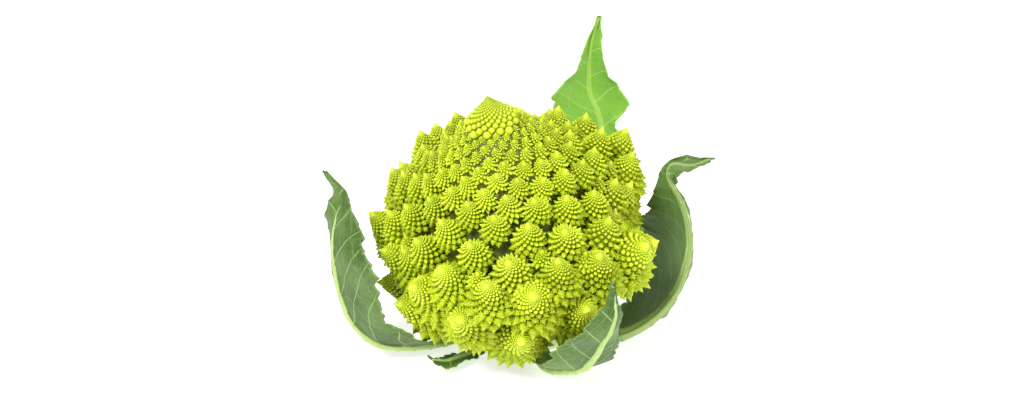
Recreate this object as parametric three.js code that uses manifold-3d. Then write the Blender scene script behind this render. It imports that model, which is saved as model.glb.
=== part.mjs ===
import * as THREE from 'three';
import { mergeVertices } from 'three/addons/utils/BufferGeometryUtils.js';
import Module from 'manifold-3d';

// A romanesco head: a cone of spiralling florets on a cut stalk, with the leaves left round it.
// The origin is the middle of the stalk's cut face. +Z is up and -Y is the side shown.

// Driving dimensions of the head, in millimetres
const HEAD_HEIGHT = 158;
const HEAD_RADIUS = 79;
const HEAD_FOOT = new THREE.Vector3(6, 10, -14);
const LEAN_FORWARD = THREE.MathUtils.degToRad(15);
const LEAN_LEFT = THREE.MathUtils.degToRad(9);
const TOUCH_GAP = 0.3;

// Growth: each floret is turned by the golden angle from the one before it, and the cells
// between the spirals of 8 and of 13 florets widen with the distance from the head's tip
const GOLDEN_ANGLE = Math.PI * (3 - Math.sqrt(5));
const FIRST_ANGLE = THREE.MathUtils.degToRad(255);
const HEAD_PAIR = [8, 13];
const SPACING_AT_60 = 16.2;
const SPACING_POWER = 1.2;
const LARGEST_SPACING = 40;
const CELL_FILL = 0.87;
const LATTICE_STEP = 0.05;
const CROWN_FROM = 8;
const CROWN_TO = 36;

// Depth of the valleys between the florets, as a share of the spacing: shallow at the crown and
// deep down the sides, and a little less in the middle of a cell's side than at its corners
const VALLEY_DEPTH = { crown: 0.35, sides: 0.85, from: 20, to: 60 };
const SIDE_MIDDLE_SHARE = 0.85;

// Where the florets stand higher or lower than the head's even outline: the middle as an arc from
// the tip and an angle in degrees, how far the change reaches, and the height that it adds
const SWELLINGS = [
  { arc: 106, angle: 350, reach: 28, lift: -18 },
  { arc: 110, angle: 203, reach: 26, lift: -11 },
  { arc: 127, angle: 329, reach: 14, lift: 9 },
  { arc: 92, angle: 62, reach: 22, lift: 5 },
  { arc: 92, angle: 28, reach: 18, lift: 10 },
  { arc: 86, angle: 118, reach: 28, lift: 9 },
];

// Shape of one floret, as shares of its width, and how much its size and direction vary
const WIDTH_SHARE = 1.02;
const TIP_SHARE = 0.72;
const RIM_SWING = THREE.MathUtils.degToRad(66);
const UPTURN = 0.4;
const WIDTH_VARIATION = 0.12;
const TILT_VARIATION = 0.2;

// Buds on a floret: their height and the depth of the valleys between them, as shares of a cell,
// and how many there are from what width of floret
const BUD_LIFT = 0.36;
const BUD_VALLEY = -0.12;
const BUD_CELL_SHARE = 0.7;
const LARGE_FLORET = { pair: [5, 8], buds: 26, from: 25 };
const MIDDLE_FLORET = { pair: [3, 5], buds: 12, from: 14 };
const SMALL_FLORET = { pair: [3, 5], buds: 6 };

// Stalk: a cut face, a swelling above it and a neck where the curd begins
const STALK_RADIUS = 22;
const STALK_HEIGHT = 30;
const STALK_SWELLING = 2;
const STALK_SIDES = 24;
const NECK_RADIUS = 17;
const NECK_UP = 42;
const NECK_HOLLOW = 2;
const NECK_SIDES = 16;

// Leaves: blade thickness, the height of the midrib over the blade at its foot and at its tip, and
// the ruffle of the margins, which grows from nothing over the first part of the leaf
const BLADE = 0.9;
const RIB_FOOT = 3.4;
const RIB_TIP = 0.5;
const RUFFLE = 1.3;
const RUFFLE_FROM = 0.25;
const LEAF_ROWS = 22;
const HALF_COLUMNS = 4;
const NORMAL_STEP = 0.01;

// Each leaf is a midrib and the margins of its two halves, from the stalk to the tip. The bulge
// bows a half outwards, and the wave ruffles its margin that many times.
const leaves = [
  {
    name: 'leaf_left',
    material: 'leaf',
    rib: [
      [-20, -9, 8.4], [-45, -25, 7.7], [-62, -30, 8.4], [-72, -32, 11], [-80, -33, 18], [-86, -33, 28],
      [-90, -31, 42], [-92, -27, 59], [-90, -23, 73], [-87, -20, 80], [-91, -16, 87], [-96, -12, 92],
    ],
    first: {
      margin: [
        [-18, -14, 8.4], [-41, -33, 13], [-53, -42, 19], [-62, -48, 27], [-67, -52, 37], [-68, -56, 46],
        [-68, -59, 54], [-71, -54, 62], [-76, -43, 69], [-80, -32, 77], [-86, -22, 86], [-95, -13, 92],
      ],
      bulge: 4,
      wave: 5,
    },
    second: {
      margin: [
        [-19, -3, 8.4], [-45, -19, 5], [-62, -21, 5], [-74, -22, 6.4], [-84, -21, 15], [-91, -18, 30],
        [-94, -13, 46], [-96, -11, 62], [-96, -11, 74], [-94, -11, 82], [-97, -10, 88], [-97, -11, 92],
      ],
      bulge: 2,
      wave: 5,
    },
  },
  {
    name: 'leaf_right',
    material: 'leaf',
    rib: [
      [20, -6, 8.4], [36, -20, 7.7], [48, -24, 11.8], [62, -22, 20], [73, -16, 32], [79, -8, 50],
      [78, -3, 62], [74, 2, 72], [68, 7, 82], [70, 8, 88], [79, 6, 88], [88, 4, 92],
    ],
    first: {
      margin: [
        [21, 0, 8.4], [37, -4, 5], [47, 20, 7.7], [54, 40, 12], [56, 50, 24], [55, 46, 38],
        [56, 34, 50], [59, 22, 60], [62, 15, 72], [65, 15, 82], [76, 12, 92], [87, 5, 92],
      ],
      bulge: 7,
      wave: 4,
    },
    second: {
      margin: [
        [19, -12, 8.4], [38, -12, 4], [52, -12, 7.7], [66, -9, 14], [77, -3, 26], [81, 4, 44],
        [81, 6, 56], [78, 7, 66], [73, 10, 76], [73, 5, 82], [81, 3, 86], [88, 3, 90],
      ],
      bulge: 2,
      wave: 5,
    },
  },
  {
    name: 'leaf_front',
    material: 'leaf',
    rib: [
      [3, -20, 6], [9, -45, 5], [18, -56, 8.4], [26, -65, 14], [31, -73, 24], [34, -80, 34],
      [37, -85, 42], [39, -87, 52], [38, -84, 66],
    ],
    first: {
      margin: [
        [8, -20, 6], [18, -40, 4], [27, -45, 7], [36, -52, 11.8], [43, -60, 20], [42, -68, 30],
        [43, -76, 42], [41, -83, 54], [39, -83, 66],
      ],
      bulge: 3,
      wave: 5,
    },
    second: {
      margin: [
        [-2, -20, 6], [1, -46, 8], [6, -63, 16], [13, -76, 30], [19, -83, 38], [25, -88, 46],
        [31, -89, 54], [35, -87, 60], [37, -85, 66],
      ],
      bulge: 3,
      wave: 3,
    },
  },
  {
    name: 'leaf_back',
    material: 'youngLeaf',
    rib: [
      [7, 20, 7.7], [16, 48, 6], [28, 74, 16], [37, 84, 44], [40, 83, 74], [37, 80, 90],
      [33, 78, 100], [32, 74, 114], [32, 71, 122], [33, 67, 134], [36, 62, 146],
    ],
    first: {
      margin: [
        [1, 21, 7.7], [8, 50, 5], [14, 76, 14], [17, 85, 44], [20, 82, 74], [13, 77, 88],
        [11, 74, 95], [21, 71, 110], [25, 70, 116], [28, 68, 128], [35, 62, 146],
      ],
      bulge: 3,
      wave: 3,
    },
    second: {
      margin: [
        [13, 19, 7.7], [24, 46, 5], [42, 72, 14], [55, 80, 42], [56, 80, 70], [47, 78, 84],
        [54, 74, 95], [46, 71, 108], [42, 70, 113], [40, 66, 130], [37, 62, 146],
      ],
      bulge: 3,
      wave: 3,
    },
  },
  {
    name: 'leaf_low',
    material: 'leaf',
    rib: [[-15, -14, 5], [-30, -31, 3.5], [-39, -40, 4.5], [-45, -45, 7.7]],
    first: { margin: [[-18, -11, 5], [-34, -29, 3], [-44, -36, 5.5], [-48, -42, 9.7]], bulge: 1, wave: 2 },
    second: { margin: [[-12, -17, 5], [-27, -35, 3], [-35, -45, 4.5], [-43, -48, 7]], bulge: 1, wave: 2 },
  },
];

const solid = await Module();
solid.setup();

const materials = {
  curd: new THREE.MeshStandardMaterial({ color: 0xb4c93a, roughness: 0.6, metalness: 0 }),
  stalk: new THREE.MeshStandardMaterial({ color: 0xc9d69a, roughness: 0.55, metalness: 0 }),
  leaf: new THREE.MeshStandardMaterial({ color: 0x55783f, roughness: 0.5, metalness: 0 }),
  youngLeaf: new THREE.MeshStandardMaterial({ color: 0x63b02f, roughness: 0.45, metalness: 0 }),
};

// A closed three.js geometry as a solid that can be joined and cut
function toSolid(geometry) {
  const bare = geometry.clone();
  bare.deleteAttribute('normal');
  bare.deleteAttribute('uv');
  const merged = mergeVertices(bare, 1e-4);
  const vertProperties = new Float32Array(merged.attributes.position.array);
  const triVerts = new Uint32Array(merged.index.array);
  return new solid.Manifold(new solid.Mesh({ numProp: 3, vertProperties, triVerts }));
}

function toGeometry(body) {
  const mesh = body.getMesh();
  const geometry = new THREE.BufferGeometry();
  geometry.setAttribute('position', new THREE.BufferAttribute(mesh.vertProperties, 3));
  geometry.setIndex(new THREE.BufferAttribute(mesh.triVerts, 1));
  return geometry;
}

function fromFaces(points, faces) {
  const geometry = new THREE.BufferGeometry();
  const numbers = points.flatMap((point) => point.toArray());
  geometry.setAttribute('position', new THREE.Float32BufferAttribute(numbers, 3));
  geometry.setIndex(faces.flat());
  return geometry;
}

// Outline of the floret tips, as shares of the head's radius and height on its own axis
const envelope = new THREE.SplineCurve(
  [
    [0, 1],
    [0.09, 0.947],
    [0.19, 0.9],
    [0.33, 0.842],
    [0.55, 0.757],
    [0.75, 0.684],
    [0.91, 0.612],
    [1, 0.526],
    [1, 0.42],
    [0.94, 0.3],
    [0.81, 0.205],
    [0.64, 0.135],
    [0.5, 0.09],
    [0.36, 0.055],
    [0.24, 0.035],
  ].map(([across, up]) => new THREE.Vector2(across * HEAD_RADIUS, up * HEAD_HEIGHT)),
);
const ENVELOPE_LENGTH = envelope.getLength();

function onEnvelope(arc) {
  return envelope.getPointAt(THREE.MathUtils.clamp(arc / ENVELOPE_LENGTH, 0, 1));
}

function spacingAt(arc) {
  return Math.min(SPACING_AT_60 * (arc / 60) ** SPACING_POWER, LARGEST_SPACING);
}

// Arc length of each point of the lattice: a new point whenever the area passed holds one more cell
function latticeArcs() {
  const arcs = [];
  let cells = 0;
  for (let arc = CROWN_FROM; arc < ENVELOPE_LENGTH; arc += LATTICE_STEP) {
    cells += (2 * Math.PI * onEnvelope(arc).x * LATTICE_STEP) / (CELL_FILL * spacingAt(arc) ** 2);
    if (cells >= arcs.length) {
      arcs.push(arc);
    }
  }
  return arcs;
}

// Position on a surface of revolution, raised along its normal
function onRevolved(profile, along, angle, lift) {
  const point = profile(along);
  const direction = profile(along + 0.01).sub(profile(along - 0.01)).normalize();
  const radius = point.x - direction.y * lift;
  const height = point.y + direction.x * lift;
  return new THREE.Vector3(radius * Math.cos(angle), radius * Math.sin(angle), height);
}

// Height that the swellings and hollows add at a place on the head
function swellingAt(arc, angle) {
  const around = onEnvelope(arc).x;
  return SWELLINGS.reduce((total, place) => {
    const turn = angle - THREE.MathUtils.degToRad(place.angle);
    const apart = turn - 2 * Math.PI * Math.round(turn / (2 * Math.PI));
    const distance = Math.hypot(arc - place.arc, around * apart);
    return total + place.lift * Math.exp(-((distance / place.reach) ** 2));
  }, 0);
}

// Position on the head, raised over the outline of the floret tips
function onHead(arc, angle, lift) {
  return onRevolved(onEnvelope, arc, angle, lift + swellingAt(arc, angle));
}

// Angle from one bud to the bud that comes a number of places later, between -PI and PI
function turnTo(places) {
  const turn = places * GOLDEN_ANGLE;
  return turn - 2 * Math.PI * Math.round(turn / (2 * Math.PI));
}

// The two spirals through a point of a lattice, and the angle to the middle of its cell
function spirals(pair) {
  const left = pair.find((places) => turnTo(places) < 0);
  const right = pair.find((places) => turnTo(places) > 0);
  return { left, right, both: left + right, middleTurn: (turnTo(left) + turnTo(right)) / 2 };
}

// Closed ring along the last points of a lattice, or the first, anticlockwise as seen from its tip
function ringOf(first, { left, right, both }) {
  const ring = [];
  let place = 0;
  for (let i = 0; i < both; i += 1) {
    ring.unshift(first + place);
    place += place + left < both ? left : -right;
  }
  return ring;
}

// Faces between an inner ring and an outer one, both anticlockwise. The outer ring is turned to
// lie nearest the inner one, and the faces then share out the two rings evenly.
function stitch(points, inner, outer) {
  const turned = (start) => [...outer.slice(start), ...outer.slice(0, start)];
  const strain = (ring) => {
    const partner = (j) => inner[Math.round((j * inner.length) / ring.length) % inner.length];
    return ring.reduce((total, vertex, j) => total + points[vertex].distanceTo(points[partner(j)]), 0);
  };
  const strains = outer.map((vertex, start) => strain(turned(start)));
  const ring = turned(strains.indexOf(Math.min(...strains)));
  const faces = [];
  let i = 0;
  let j = 0;
  while (i < inner.length || j < ring.length) {
    const here = inner[i % inner.length];
    const there = ring[j % ring.length];
    if ((j + 1) / ring.length <= (i + 1) / inner.length) {
      faces.push([here, there, ring[(j + 1) % ring.length]]);
      j += 1;
    } else {
      faces.push([here, there, inner[(i + 1) % inner.length]]);
      i += 1;
    }
  }
  return faces;
}

// Repeatable variation between -0.5 and 0.5 for the floret of a given number
function vary(number, kind) {
  const wave = Math.sin(number * 12.9898 + kind * 78.233) * 43758.5453;
  return wave - Math.floor(wave) - 0.5;
}

// Outline of a floret of unit width with its tip at the origin: a cone that steepens to its rim
function floretProfile(along) {
  const across = (0.5 * Math.sin(along * RIM_SWING)) / Math.sin(RIM_SWING);
  return new THREE.Vector2(across, -TIP_SHARE * along);
}

// Points and faces of one floret: pyramid buds on its own spiral lattice, open at the rim
function floret({ pair, buds }) {
  const spiral = spirals(pair);
  const valleys = buds + spiral.both;
  const slant = Math.sin(Math.atan(0.5 / TIP_SHARE));
  const growth = slant * Math.sqrt((-turnTo(pair[0]) * turnTo(pair[1])) / (pair[0] * pair[1]));
  const cell = BUD_CELL_SHARE * Math.sqrt(2 * Math.PI * slant * growth);
  const surface = (index, angle, lift) => {
    const along = Math.exp(growth * (index - valleys + 1));
    return onRevolved(floretProfile, along, angle, lift * cell * along);
  };
  const points = [];
  const faces = [];
  for (let i = 0; i < valleys; i += 1) {
    points.push(surface(i, i * GOLDEN_ANGLE, BUD_VALLEY));
  }
  for (let i = 0; i < buds; i += 1) {
    const corners = [i, i + spiral.left, i + spiral.both, i + spiral.right];
    const angle = i * GOLDEN_ANGLE + spiral.middleTurn;
    const bud = points.push(surface(i + spiral.both / 2, angle, BUD_LIFT)) - 1;
    corners.forEach((corner, k) => faces.push([bud, corner, corners[(k + 1) % 4]]));
  }
  const tip = points.push(new THREE.Vector3(0, 0, 0.02)) - 1;
  const top = ringOf(0, spiral);
  top.forEach((vertex, k) => faces.push([tip, vertex, top[(k + 1) % top.length]]));
  return { points, faces, rim: ringOf(buds, spiral) };
}

// Place of the floret in a cell of the head's lattice: it leans up towards the head's tip
function floretPlacement(number, arc, angle) {
  const width = WIDTH_SHARE * spacingAt(arc) * (1 + WIDTH_VARIATION * vary(number, 1));
  const base = onHead(arc, angle, -TIP_SHARE * width);
  const outward = onHead(arc, angle, 1).sub(onHead(arc, angle, 0));
  const axis = outward.multiplyScalar(1 - UPTURN).add(new THREE.Vector3(0, 0, UPTURN));
  axis.x += TILT_VARIATION * vary(number, 2);
  axis.y += TILT_VARIATION * vary(number, 3);
  axis.normalize();
  const turn = new THREE.Quaternion().setFromUnitVectors(new THREE.Vector3(0, 0, 1), axis);
  const tip = base.addScaledVector(axis, TIP_SHARE * width);
  return new THREE.Matrix4().compose(tip, turn, new THREE.Vector3(width, width, width));
}

// Depth of the valleys between the florets at a distance from the head's tip
function valleyDepth(arc) {
  const { crown, sides, from, to } = VALLEY_DEPTH;
  return THREE.MathUtils.lerp(crown, sides, THREE.MathUtils.smoothstep(arc, from, to)) * spacingAt(arc);
}

// The head as one closed surface: a lattice of cells with a bead or a floret raised in each
function headSurface() {
  const arcs = latticeArcs();
  const spiral = spirals(HEAD_PAIR);
  const cells = arcs.length - spiral.both;
  const firstFloret = arcs.findIndex((arc) => arc > CROWN_TO) - Math.floor(spiral.both / 2);
  const arcAt = (index) => (arcs[Math.floor(index)] + arcs[Math.ceil(index)]) / 2;
  const points = [];
  const faces = [];
  const between = new Map();

  arcs.forEach((arc, i) => {
    points.push(onHead(arc, FIRST_ANGLE + i * GOLDEN_ANGLE, -valleyDepth(arc)));
  });
  for (const step of HEAD_PAIR) {
    for (let i = firstFloret; i + step < arcs.length; i += 1) {
      const arc = arcAt(i + step / 2);
      const angle = FIRST_ANGLE + i * GOLDEN_ANGLE + turnTo(step) / 2;
      const middle = points.push(onHead(arc, angle, -SIDE_MIDDLE_SHARE * valleyDepth(arc))) - 1;
      between.set(`${i}-${i + step}`, middle);
    }
  }
  // Ring of lattice points with the middle points of those sides that have one
  const withMiddles = (ring) =>
    ring.flatMap((vertex, k) => {
      const next = ring[(k + 1) % ring.length];
      const middle = between.get(`${Math.min(vertex, next)}-${Math.max(vertex, next)}`);
      return middle === undefined ? [vertex] : [vertex, middle];
    });

  const large = floret(LARGE_FLORET);
  const middle = floret(MIDDLE_FLORET);
  const small = floret(SMALL_FLORET);
  const floretFor = (width) => {
    if (width > LARGE_FLORET.from) {
      return large;
    }
    return width > MIDDLE_FLORET.from ? middle : small;
  };
  for (let i = 0; i < cells; i += 1) {
    const side = withMiddles([i, i + spiral.left, i + spiral.both, i + spiral.right]);
    const arc = arcAt(i + spiral.both / 2);
    const angle = FIRST_ANGLE + i * GOLDEN_ANGLE + spiral.middleTurn;
    if (i < firstFloret) {
      const bead = points.push(onHead(arc, angle, 0)) - 1;
      side.forEach((vertex, k) => faces.push([bead, vertex, side[(k + 1) % side.length]]));
    } else {
      const kind = floretFor(spacingAt(arc));
      const place = floretPlacement(i, arc, angle);
      const start = points.length;
      kind.points.forEach((point) => points.push(point.clone().applyMatrix4(place)));
      kind.faces.forEach((face) => faces.push(face.map((vertex) => vertex + start)));
      faces.push(...stitch(points, kind.rim.map((vertex) => vertex + start), side));
    }
  }
  const tip = points.push(new THREE.Vector3(0, 0, HEAD_HEIGHT)) - 1;
  const top = ringOf(0, spiral);
  top.forEach((vertex, k) => faces.push([tip, vertex, top[(k + 1) % top.length]]));

  // Underside: from the last florets in to the neck above the stalk
  const neck = [];
  for (let i = 0; i < NECK_SIDES; i += 1) {
    const angle = (i / NECK_SIDES) * 2 * Math.PI;
    const across = NECK_RADIUS * Math.cos(angle);
    neck.push(points.push(new THREE.Vector3(across, NECK_RADIUS * Math.sin(angle), NECK_UP)) - 1);
  }
  faces.push(...stitch(points, withMiddles(ringOf(cells, spiral)), neck));
  const bottom = points.push(new THREE.Vector3(0, 0, NECK_UP - NECK_HOLLOW)) - 1;
  neck.forEach((vertex, k) => faces.push([bottom, neck[(k + 1) % NECK_SIDES], vertex]));
  return fromFaces(points, faces);
}

function leanMatrix() {
  const up = new THREE.Vector3(-Math.sin(LEAN_LEFT), -Math.sin(LEAN_FORWARD), 0);
  up.z = Math.sqrt(1 - up.lengthSq());
  const turn = new THREE.Quaternion().setFromUnitVectors(new THREE.Vector3(0, 0, 1), up);
  return new THREE.Matrix4().compose(HEAD_FOOT, turn, new THREE.Vector3(1, 1, 1));
}

function curdGeometry() {
  const head = toSolid(headSurface().applyMatrix4(leanMatrix()));
  return toGeometry(head.subtract(toSolid(stalkGeometry(TOUCH_GAP))));
}

function stalkGeometry(extra) {
  const profile = [
    [0, -extra],
    [STALK_RADIUS + extra, -extra],
    [STALK_RADIUS + STALK_SWELLING + extra, 0.14 * STALK_HEIGHT],
    [STALK_RADIUS + STALK_SWELLING / 2 + extra, 0.54 * STALK_HEIGHT],
    [STALK_RADIUS - STALK_SWELLING + extra, STALK_HEIGHT + extra],
    [0, STALK_HEIGHT + extra],
  ].map(([across, up]) => new THREE.Vector2(across, up));
  return new THREE.LatheGeometry(profile, STALK_SIDES).rotateX(Math.PI / 2);
}

// Point on a leaf at a share of its length and a share across, from -1 to 1 with the rib at 0
function onLeaf({ rib, first, second }, along, across) {
  const half = across < 0 ? first : second;
  const share = Math.abs(across);
  const start = rib.getPointAt(along);
  const end = half.margin.getPointAt(along);
  const bow = start.clone().add(end).setZ(0).normalize().multiplyScalar(half.bulge);
  const middle = start.clone().add(end).multiplyScalar(0.5).add(bow);
  return new THREE.QuadraticBezierCurve3(start, middle, end).getPoint(share);
}

// Direction away from the head at a point of a leaf
function leafNormal(leaf, along, across) {
  const above = onLeaf(leaf, Math.min(along + NORMAL_STEP, 1), across);
  const up = above.sub(onLeaf(leaf, Math.max(along - NORMAL_STEP, 0), across));
  const over = onLeaf(leaf, along, across + NORMAL_STEP).sub(onLeaf(leaf, along, across - NORMAL_STEP));
  return up.cross(over).normalize();
}

function leafGeometry(shape) {
  const curve = (list) => {
    const route = list.map((place) => new THREE.Vector3(...place));
    return new THREE.CatmullRomCurve3(route, false, 'centripetal');
  };
  const leaf = {
    rib: curve(shape.rib),
    first: { ...shape.first, margin: curve(shape.first.margin) },
    second: { ...shape.second, margin: curve(shape.second.margin) },
  };
  const columns = 2 * HALF_COLUMNS + 1;
  const points = [];
  for (const side of [1, -1]) {
    for (let i = 0; i < LEAF_ROWS; i += 1) {
      const along = i / (LEAF_ROWS - 1);
      for (let j = 0; j < columns; j += 1) {
        const across = j / HALF_COLUMNS - 1;
        const inner = THREE.MathUtils.clamp(across, 2 * NORMAL_STEP - 1, 1 - 2 * NORMAL_STEP);
        const half = across < 0 ? leaf.first : leaf.second;
        const grown = Math.min(1, along / RUFFLE_FROM);
        const ruffle = RUFFLE * grown * across ** 2 * Math.sin(2 * Math.PI * half.wave * along);
        const swell = side > 0 && across === 0 ? THREE.MathUtils.lerp(RIB_FOOT, RIB_TIP, along) : 0;
        const lift = side * (BLADE / 2 + swell) + ruffle;
        const point = onLeaf(leaf, along, across);
        points.push(point.addScaledVector(leafNormal(leaf, along, inner), lift));
      }
    }
  }
  const at = (side, i, j) => (side * LEAF_ROWS + i) * columns + j;
  const faces = [];
  for (let i = 0; i < LEAF_ROWS - 1; i += 1) {
    for (let j = 0; j < columns - 1; j += 1) {
      faces.push([at(0, i, j), at(0, i + 1, j), at(0, i + 1, j + 1)]);
      faces.push([at(0, i, j), at(0, i + 1, j + 1), at(0, i, j + 1)]);
      faces.push([at(1, i, j), at(1, i + 1, j + 1), at(1, i + 1, j)]);
      faces.push([at(1, i, j), at(1, i, j + 1), at(1, i + 1, j + 1)]);
    }
    const last = columns - 1;
    faces.push([at(0, i, 0), at(1, i, 0), at(1, i + 1, 0)]);
    faces.push([at(0, i, 0), at(1, i + 1, 0), at(0, i + 1, 0)]);
    faces.push([at(0, i, last), at(1, i + 1, last), at(1, i, last)]);
    faces.push([at(0, i, last), at(0, i + 1, last), at(1, i + 1, last)]);
  }
  const end = LEAF_ROWS - 1;
  for (let j = 0; j < columns - 1; j += 1) {
    faces.push([at(0, 0, j), at(1, 0, j + 1), at(1, 0, j)]);
    faces.push([at(0, 0, j), at(0, 0, j + 1), at(1, 0, j + 1)]);
    faces.push([at(0, end, j), at(1, end, j), at(1, end, j + 1)]);
    faces.push([at(0, end, j), at(1, end, j + 1), at(0, end, j + 1)]);
  }
  return fromFaces(points, faces);
}

const romanesco = new THREE.Group();

function addPart(name, geometry, material) {
  const mesh = new THREE.Mesh(geometry, material);
  mesh.name = name;
  romanesco.add(mesh);
}

addPart('curd', curdGeometry(), materials.curd);
addPart('stalk', stalkGeometry(0), materials.stalk);
for (const leaf of leaves) {
  const body = toSolid(leafGeometry(leaf)).subtract(toSolid(stalkGeometry(TOUCH_GAP)));
  addPart(leaf.name, toGeometry(body), materials[leaf.material]);
}

export default romanesco;
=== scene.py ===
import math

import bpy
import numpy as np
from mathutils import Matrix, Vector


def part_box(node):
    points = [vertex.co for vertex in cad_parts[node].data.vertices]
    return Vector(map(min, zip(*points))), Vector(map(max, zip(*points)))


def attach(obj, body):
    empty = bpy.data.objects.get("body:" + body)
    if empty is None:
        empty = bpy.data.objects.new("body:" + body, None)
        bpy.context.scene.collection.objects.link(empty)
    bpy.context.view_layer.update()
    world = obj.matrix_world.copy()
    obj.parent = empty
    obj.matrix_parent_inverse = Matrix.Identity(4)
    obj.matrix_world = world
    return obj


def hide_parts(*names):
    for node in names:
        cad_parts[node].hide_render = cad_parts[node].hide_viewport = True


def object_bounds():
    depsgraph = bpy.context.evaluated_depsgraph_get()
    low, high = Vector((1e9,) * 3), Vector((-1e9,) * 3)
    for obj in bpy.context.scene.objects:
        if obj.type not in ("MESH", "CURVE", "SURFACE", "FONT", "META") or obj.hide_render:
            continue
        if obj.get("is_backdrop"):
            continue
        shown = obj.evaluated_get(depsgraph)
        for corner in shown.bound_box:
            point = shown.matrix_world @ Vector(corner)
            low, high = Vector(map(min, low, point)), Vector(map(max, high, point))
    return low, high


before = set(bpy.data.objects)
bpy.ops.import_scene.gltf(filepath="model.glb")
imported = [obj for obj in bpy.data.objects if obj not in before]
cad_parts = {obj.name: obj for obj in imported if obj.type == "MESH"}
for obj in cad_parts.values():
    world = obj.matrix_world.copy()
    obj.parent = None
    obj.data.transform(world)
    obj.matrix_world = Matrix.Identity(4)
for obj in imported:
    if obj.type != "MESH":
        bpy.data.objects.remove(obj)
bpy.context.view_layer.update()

# %% [markdown]
# # A romanesco head
# The head is one plant part: a cut stalk, a cone of florets that repeats its own shape three
# times over, and a few leaves left round it. Everything here is worked out in millimetres, in the
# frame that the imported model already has, and turned into metres when a mesh is made.

MM = 0.001

# %% [markdown]
# # The camera
# A product photograph is taken from a little above, with a long lens, so the camera stands a metre
# away and looks down at 22 degrees. A millimetre figure for each pixel fixes the lens.

# %% Camera
IMAGE_WIDTH = 1024
MM_PER_PIXEL = 0.478
VIEW_DISTANCE = 1000
VIEW_ELEVATION = math.radians(22)
VIEW_TARGET = Vector((-7.3, -16, 76.3))
SENSOR_WIDTH = 36

camera_data = bpy.data.cameras.new("camera")
camera_data.sensor_width = SENSOR_WIDTH
camera_data.lens = SENSOR_WIDTH * VIEW_DISTANCE / (IMAGE_WIDTH * MM_PER_PIXEL)
camera = bpy.data.objects.new("camera", camera_data)
view_direction = Vector((0, math.cos(VIEW_ELEVATION), -math.sin(VIEW_ELEVATION)))
camera.location = (VIEW_TARGET - view_direction * VIEW_DISTANCE) * MM
camera.rotation_euler = view_direction.to_track_quat("-Z", "Y").to_euler()
bpy.context.scene.collection.objects.link(camera)
bpy.context.scene.camera = camera
print("lens in mm:", round(camera_data.lens, 1))

# %% [markdown]
# # Meshes from arrays
# Every piece here is a formula evaluated at many points, so numpy works out all of a piece's
# points at once. A mesh takes the arrays as they are, which is far quicker than adding vertices
# one by one. Named values for each point, such as how high it stands on its bud, go in as
# attributes, and the materials read them.

# %% Mesh maker
def make_piece(name, points, faces, marks, finish):
    """A smooth mesh from points in millimetres, rows of corners, and named values per point."""
    mesh = bpy.data.meshes.new(name)
    corners = faces.shape[1]
    mesh.vertices.add(len(points))
    mesh.vertices.foreach_set("co", (points * MM).astype(np.float32).ravel())
    mesh.loops.add(faces.size)
    mesh.loops.foreach_set("vertex_index", faces.astype(np.int32).ravel())
    mesh.polygons.add(len(faces))
    mesh.polygons.foreach_set("loop_start", np.arange(0, faces.size, corners, dtype=np.int32))
    mesh.update(calc_edges=True)
    mesh.validate()
    mesh.shade_smooth()
    for mark, values in marks.items():
        attribute = mesh.attributes.new(mark, "FLOAT", "POINT")
        attribute.data.foreach_set("value", values.astype(np.float32))
    mesh.materials.append(finish)
    piece = bpy.data.objects.new(name, mesh)
    bpy.context.scene.collection.objects.link(piece)
    triangles = len(faces) * (corners - 2)
    print(f"{name}: {len(points)} points, {triangles} triangles")
    return piece


# %% [markdown]
# # Materials as expressions
# A node graph is easier to read as arithmetic. The small class below wraps the output of a node,
# and adds a Math node for each sign used on it. The class after it makes the nodes of one
# material: the settings of a node are set first, because some of them change its sockets.

# %% Arithmetic on node outputs
class Field:
    """The output of a node. Arithmetic on it adds Math nodes."""

    def __init__(self, finish, socket):
        self.finish = finish
        self.socket = socket

    def __add__(self, other):
        return self.finish.math("ADD", self, other)

    def __radd__(self, other):
        return self.finish.math("ADD", other, self)

    def __sub__(self, other):
        return self.finish.math("SUBTRACT", self, other)

    def __rsub__(self, other):
        return self.finish.math("SUBTRACT", other, self)

    def __mul__(self, other):
        return self.finish.math("MULTIPLY", self, other)

    def __rmul__(self, other):
        return self.finish.math("MULTIPLY", other, self)

    def __truediv__(self, other):
        return self.finish.math("DIVIDE", self, other)


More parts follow.
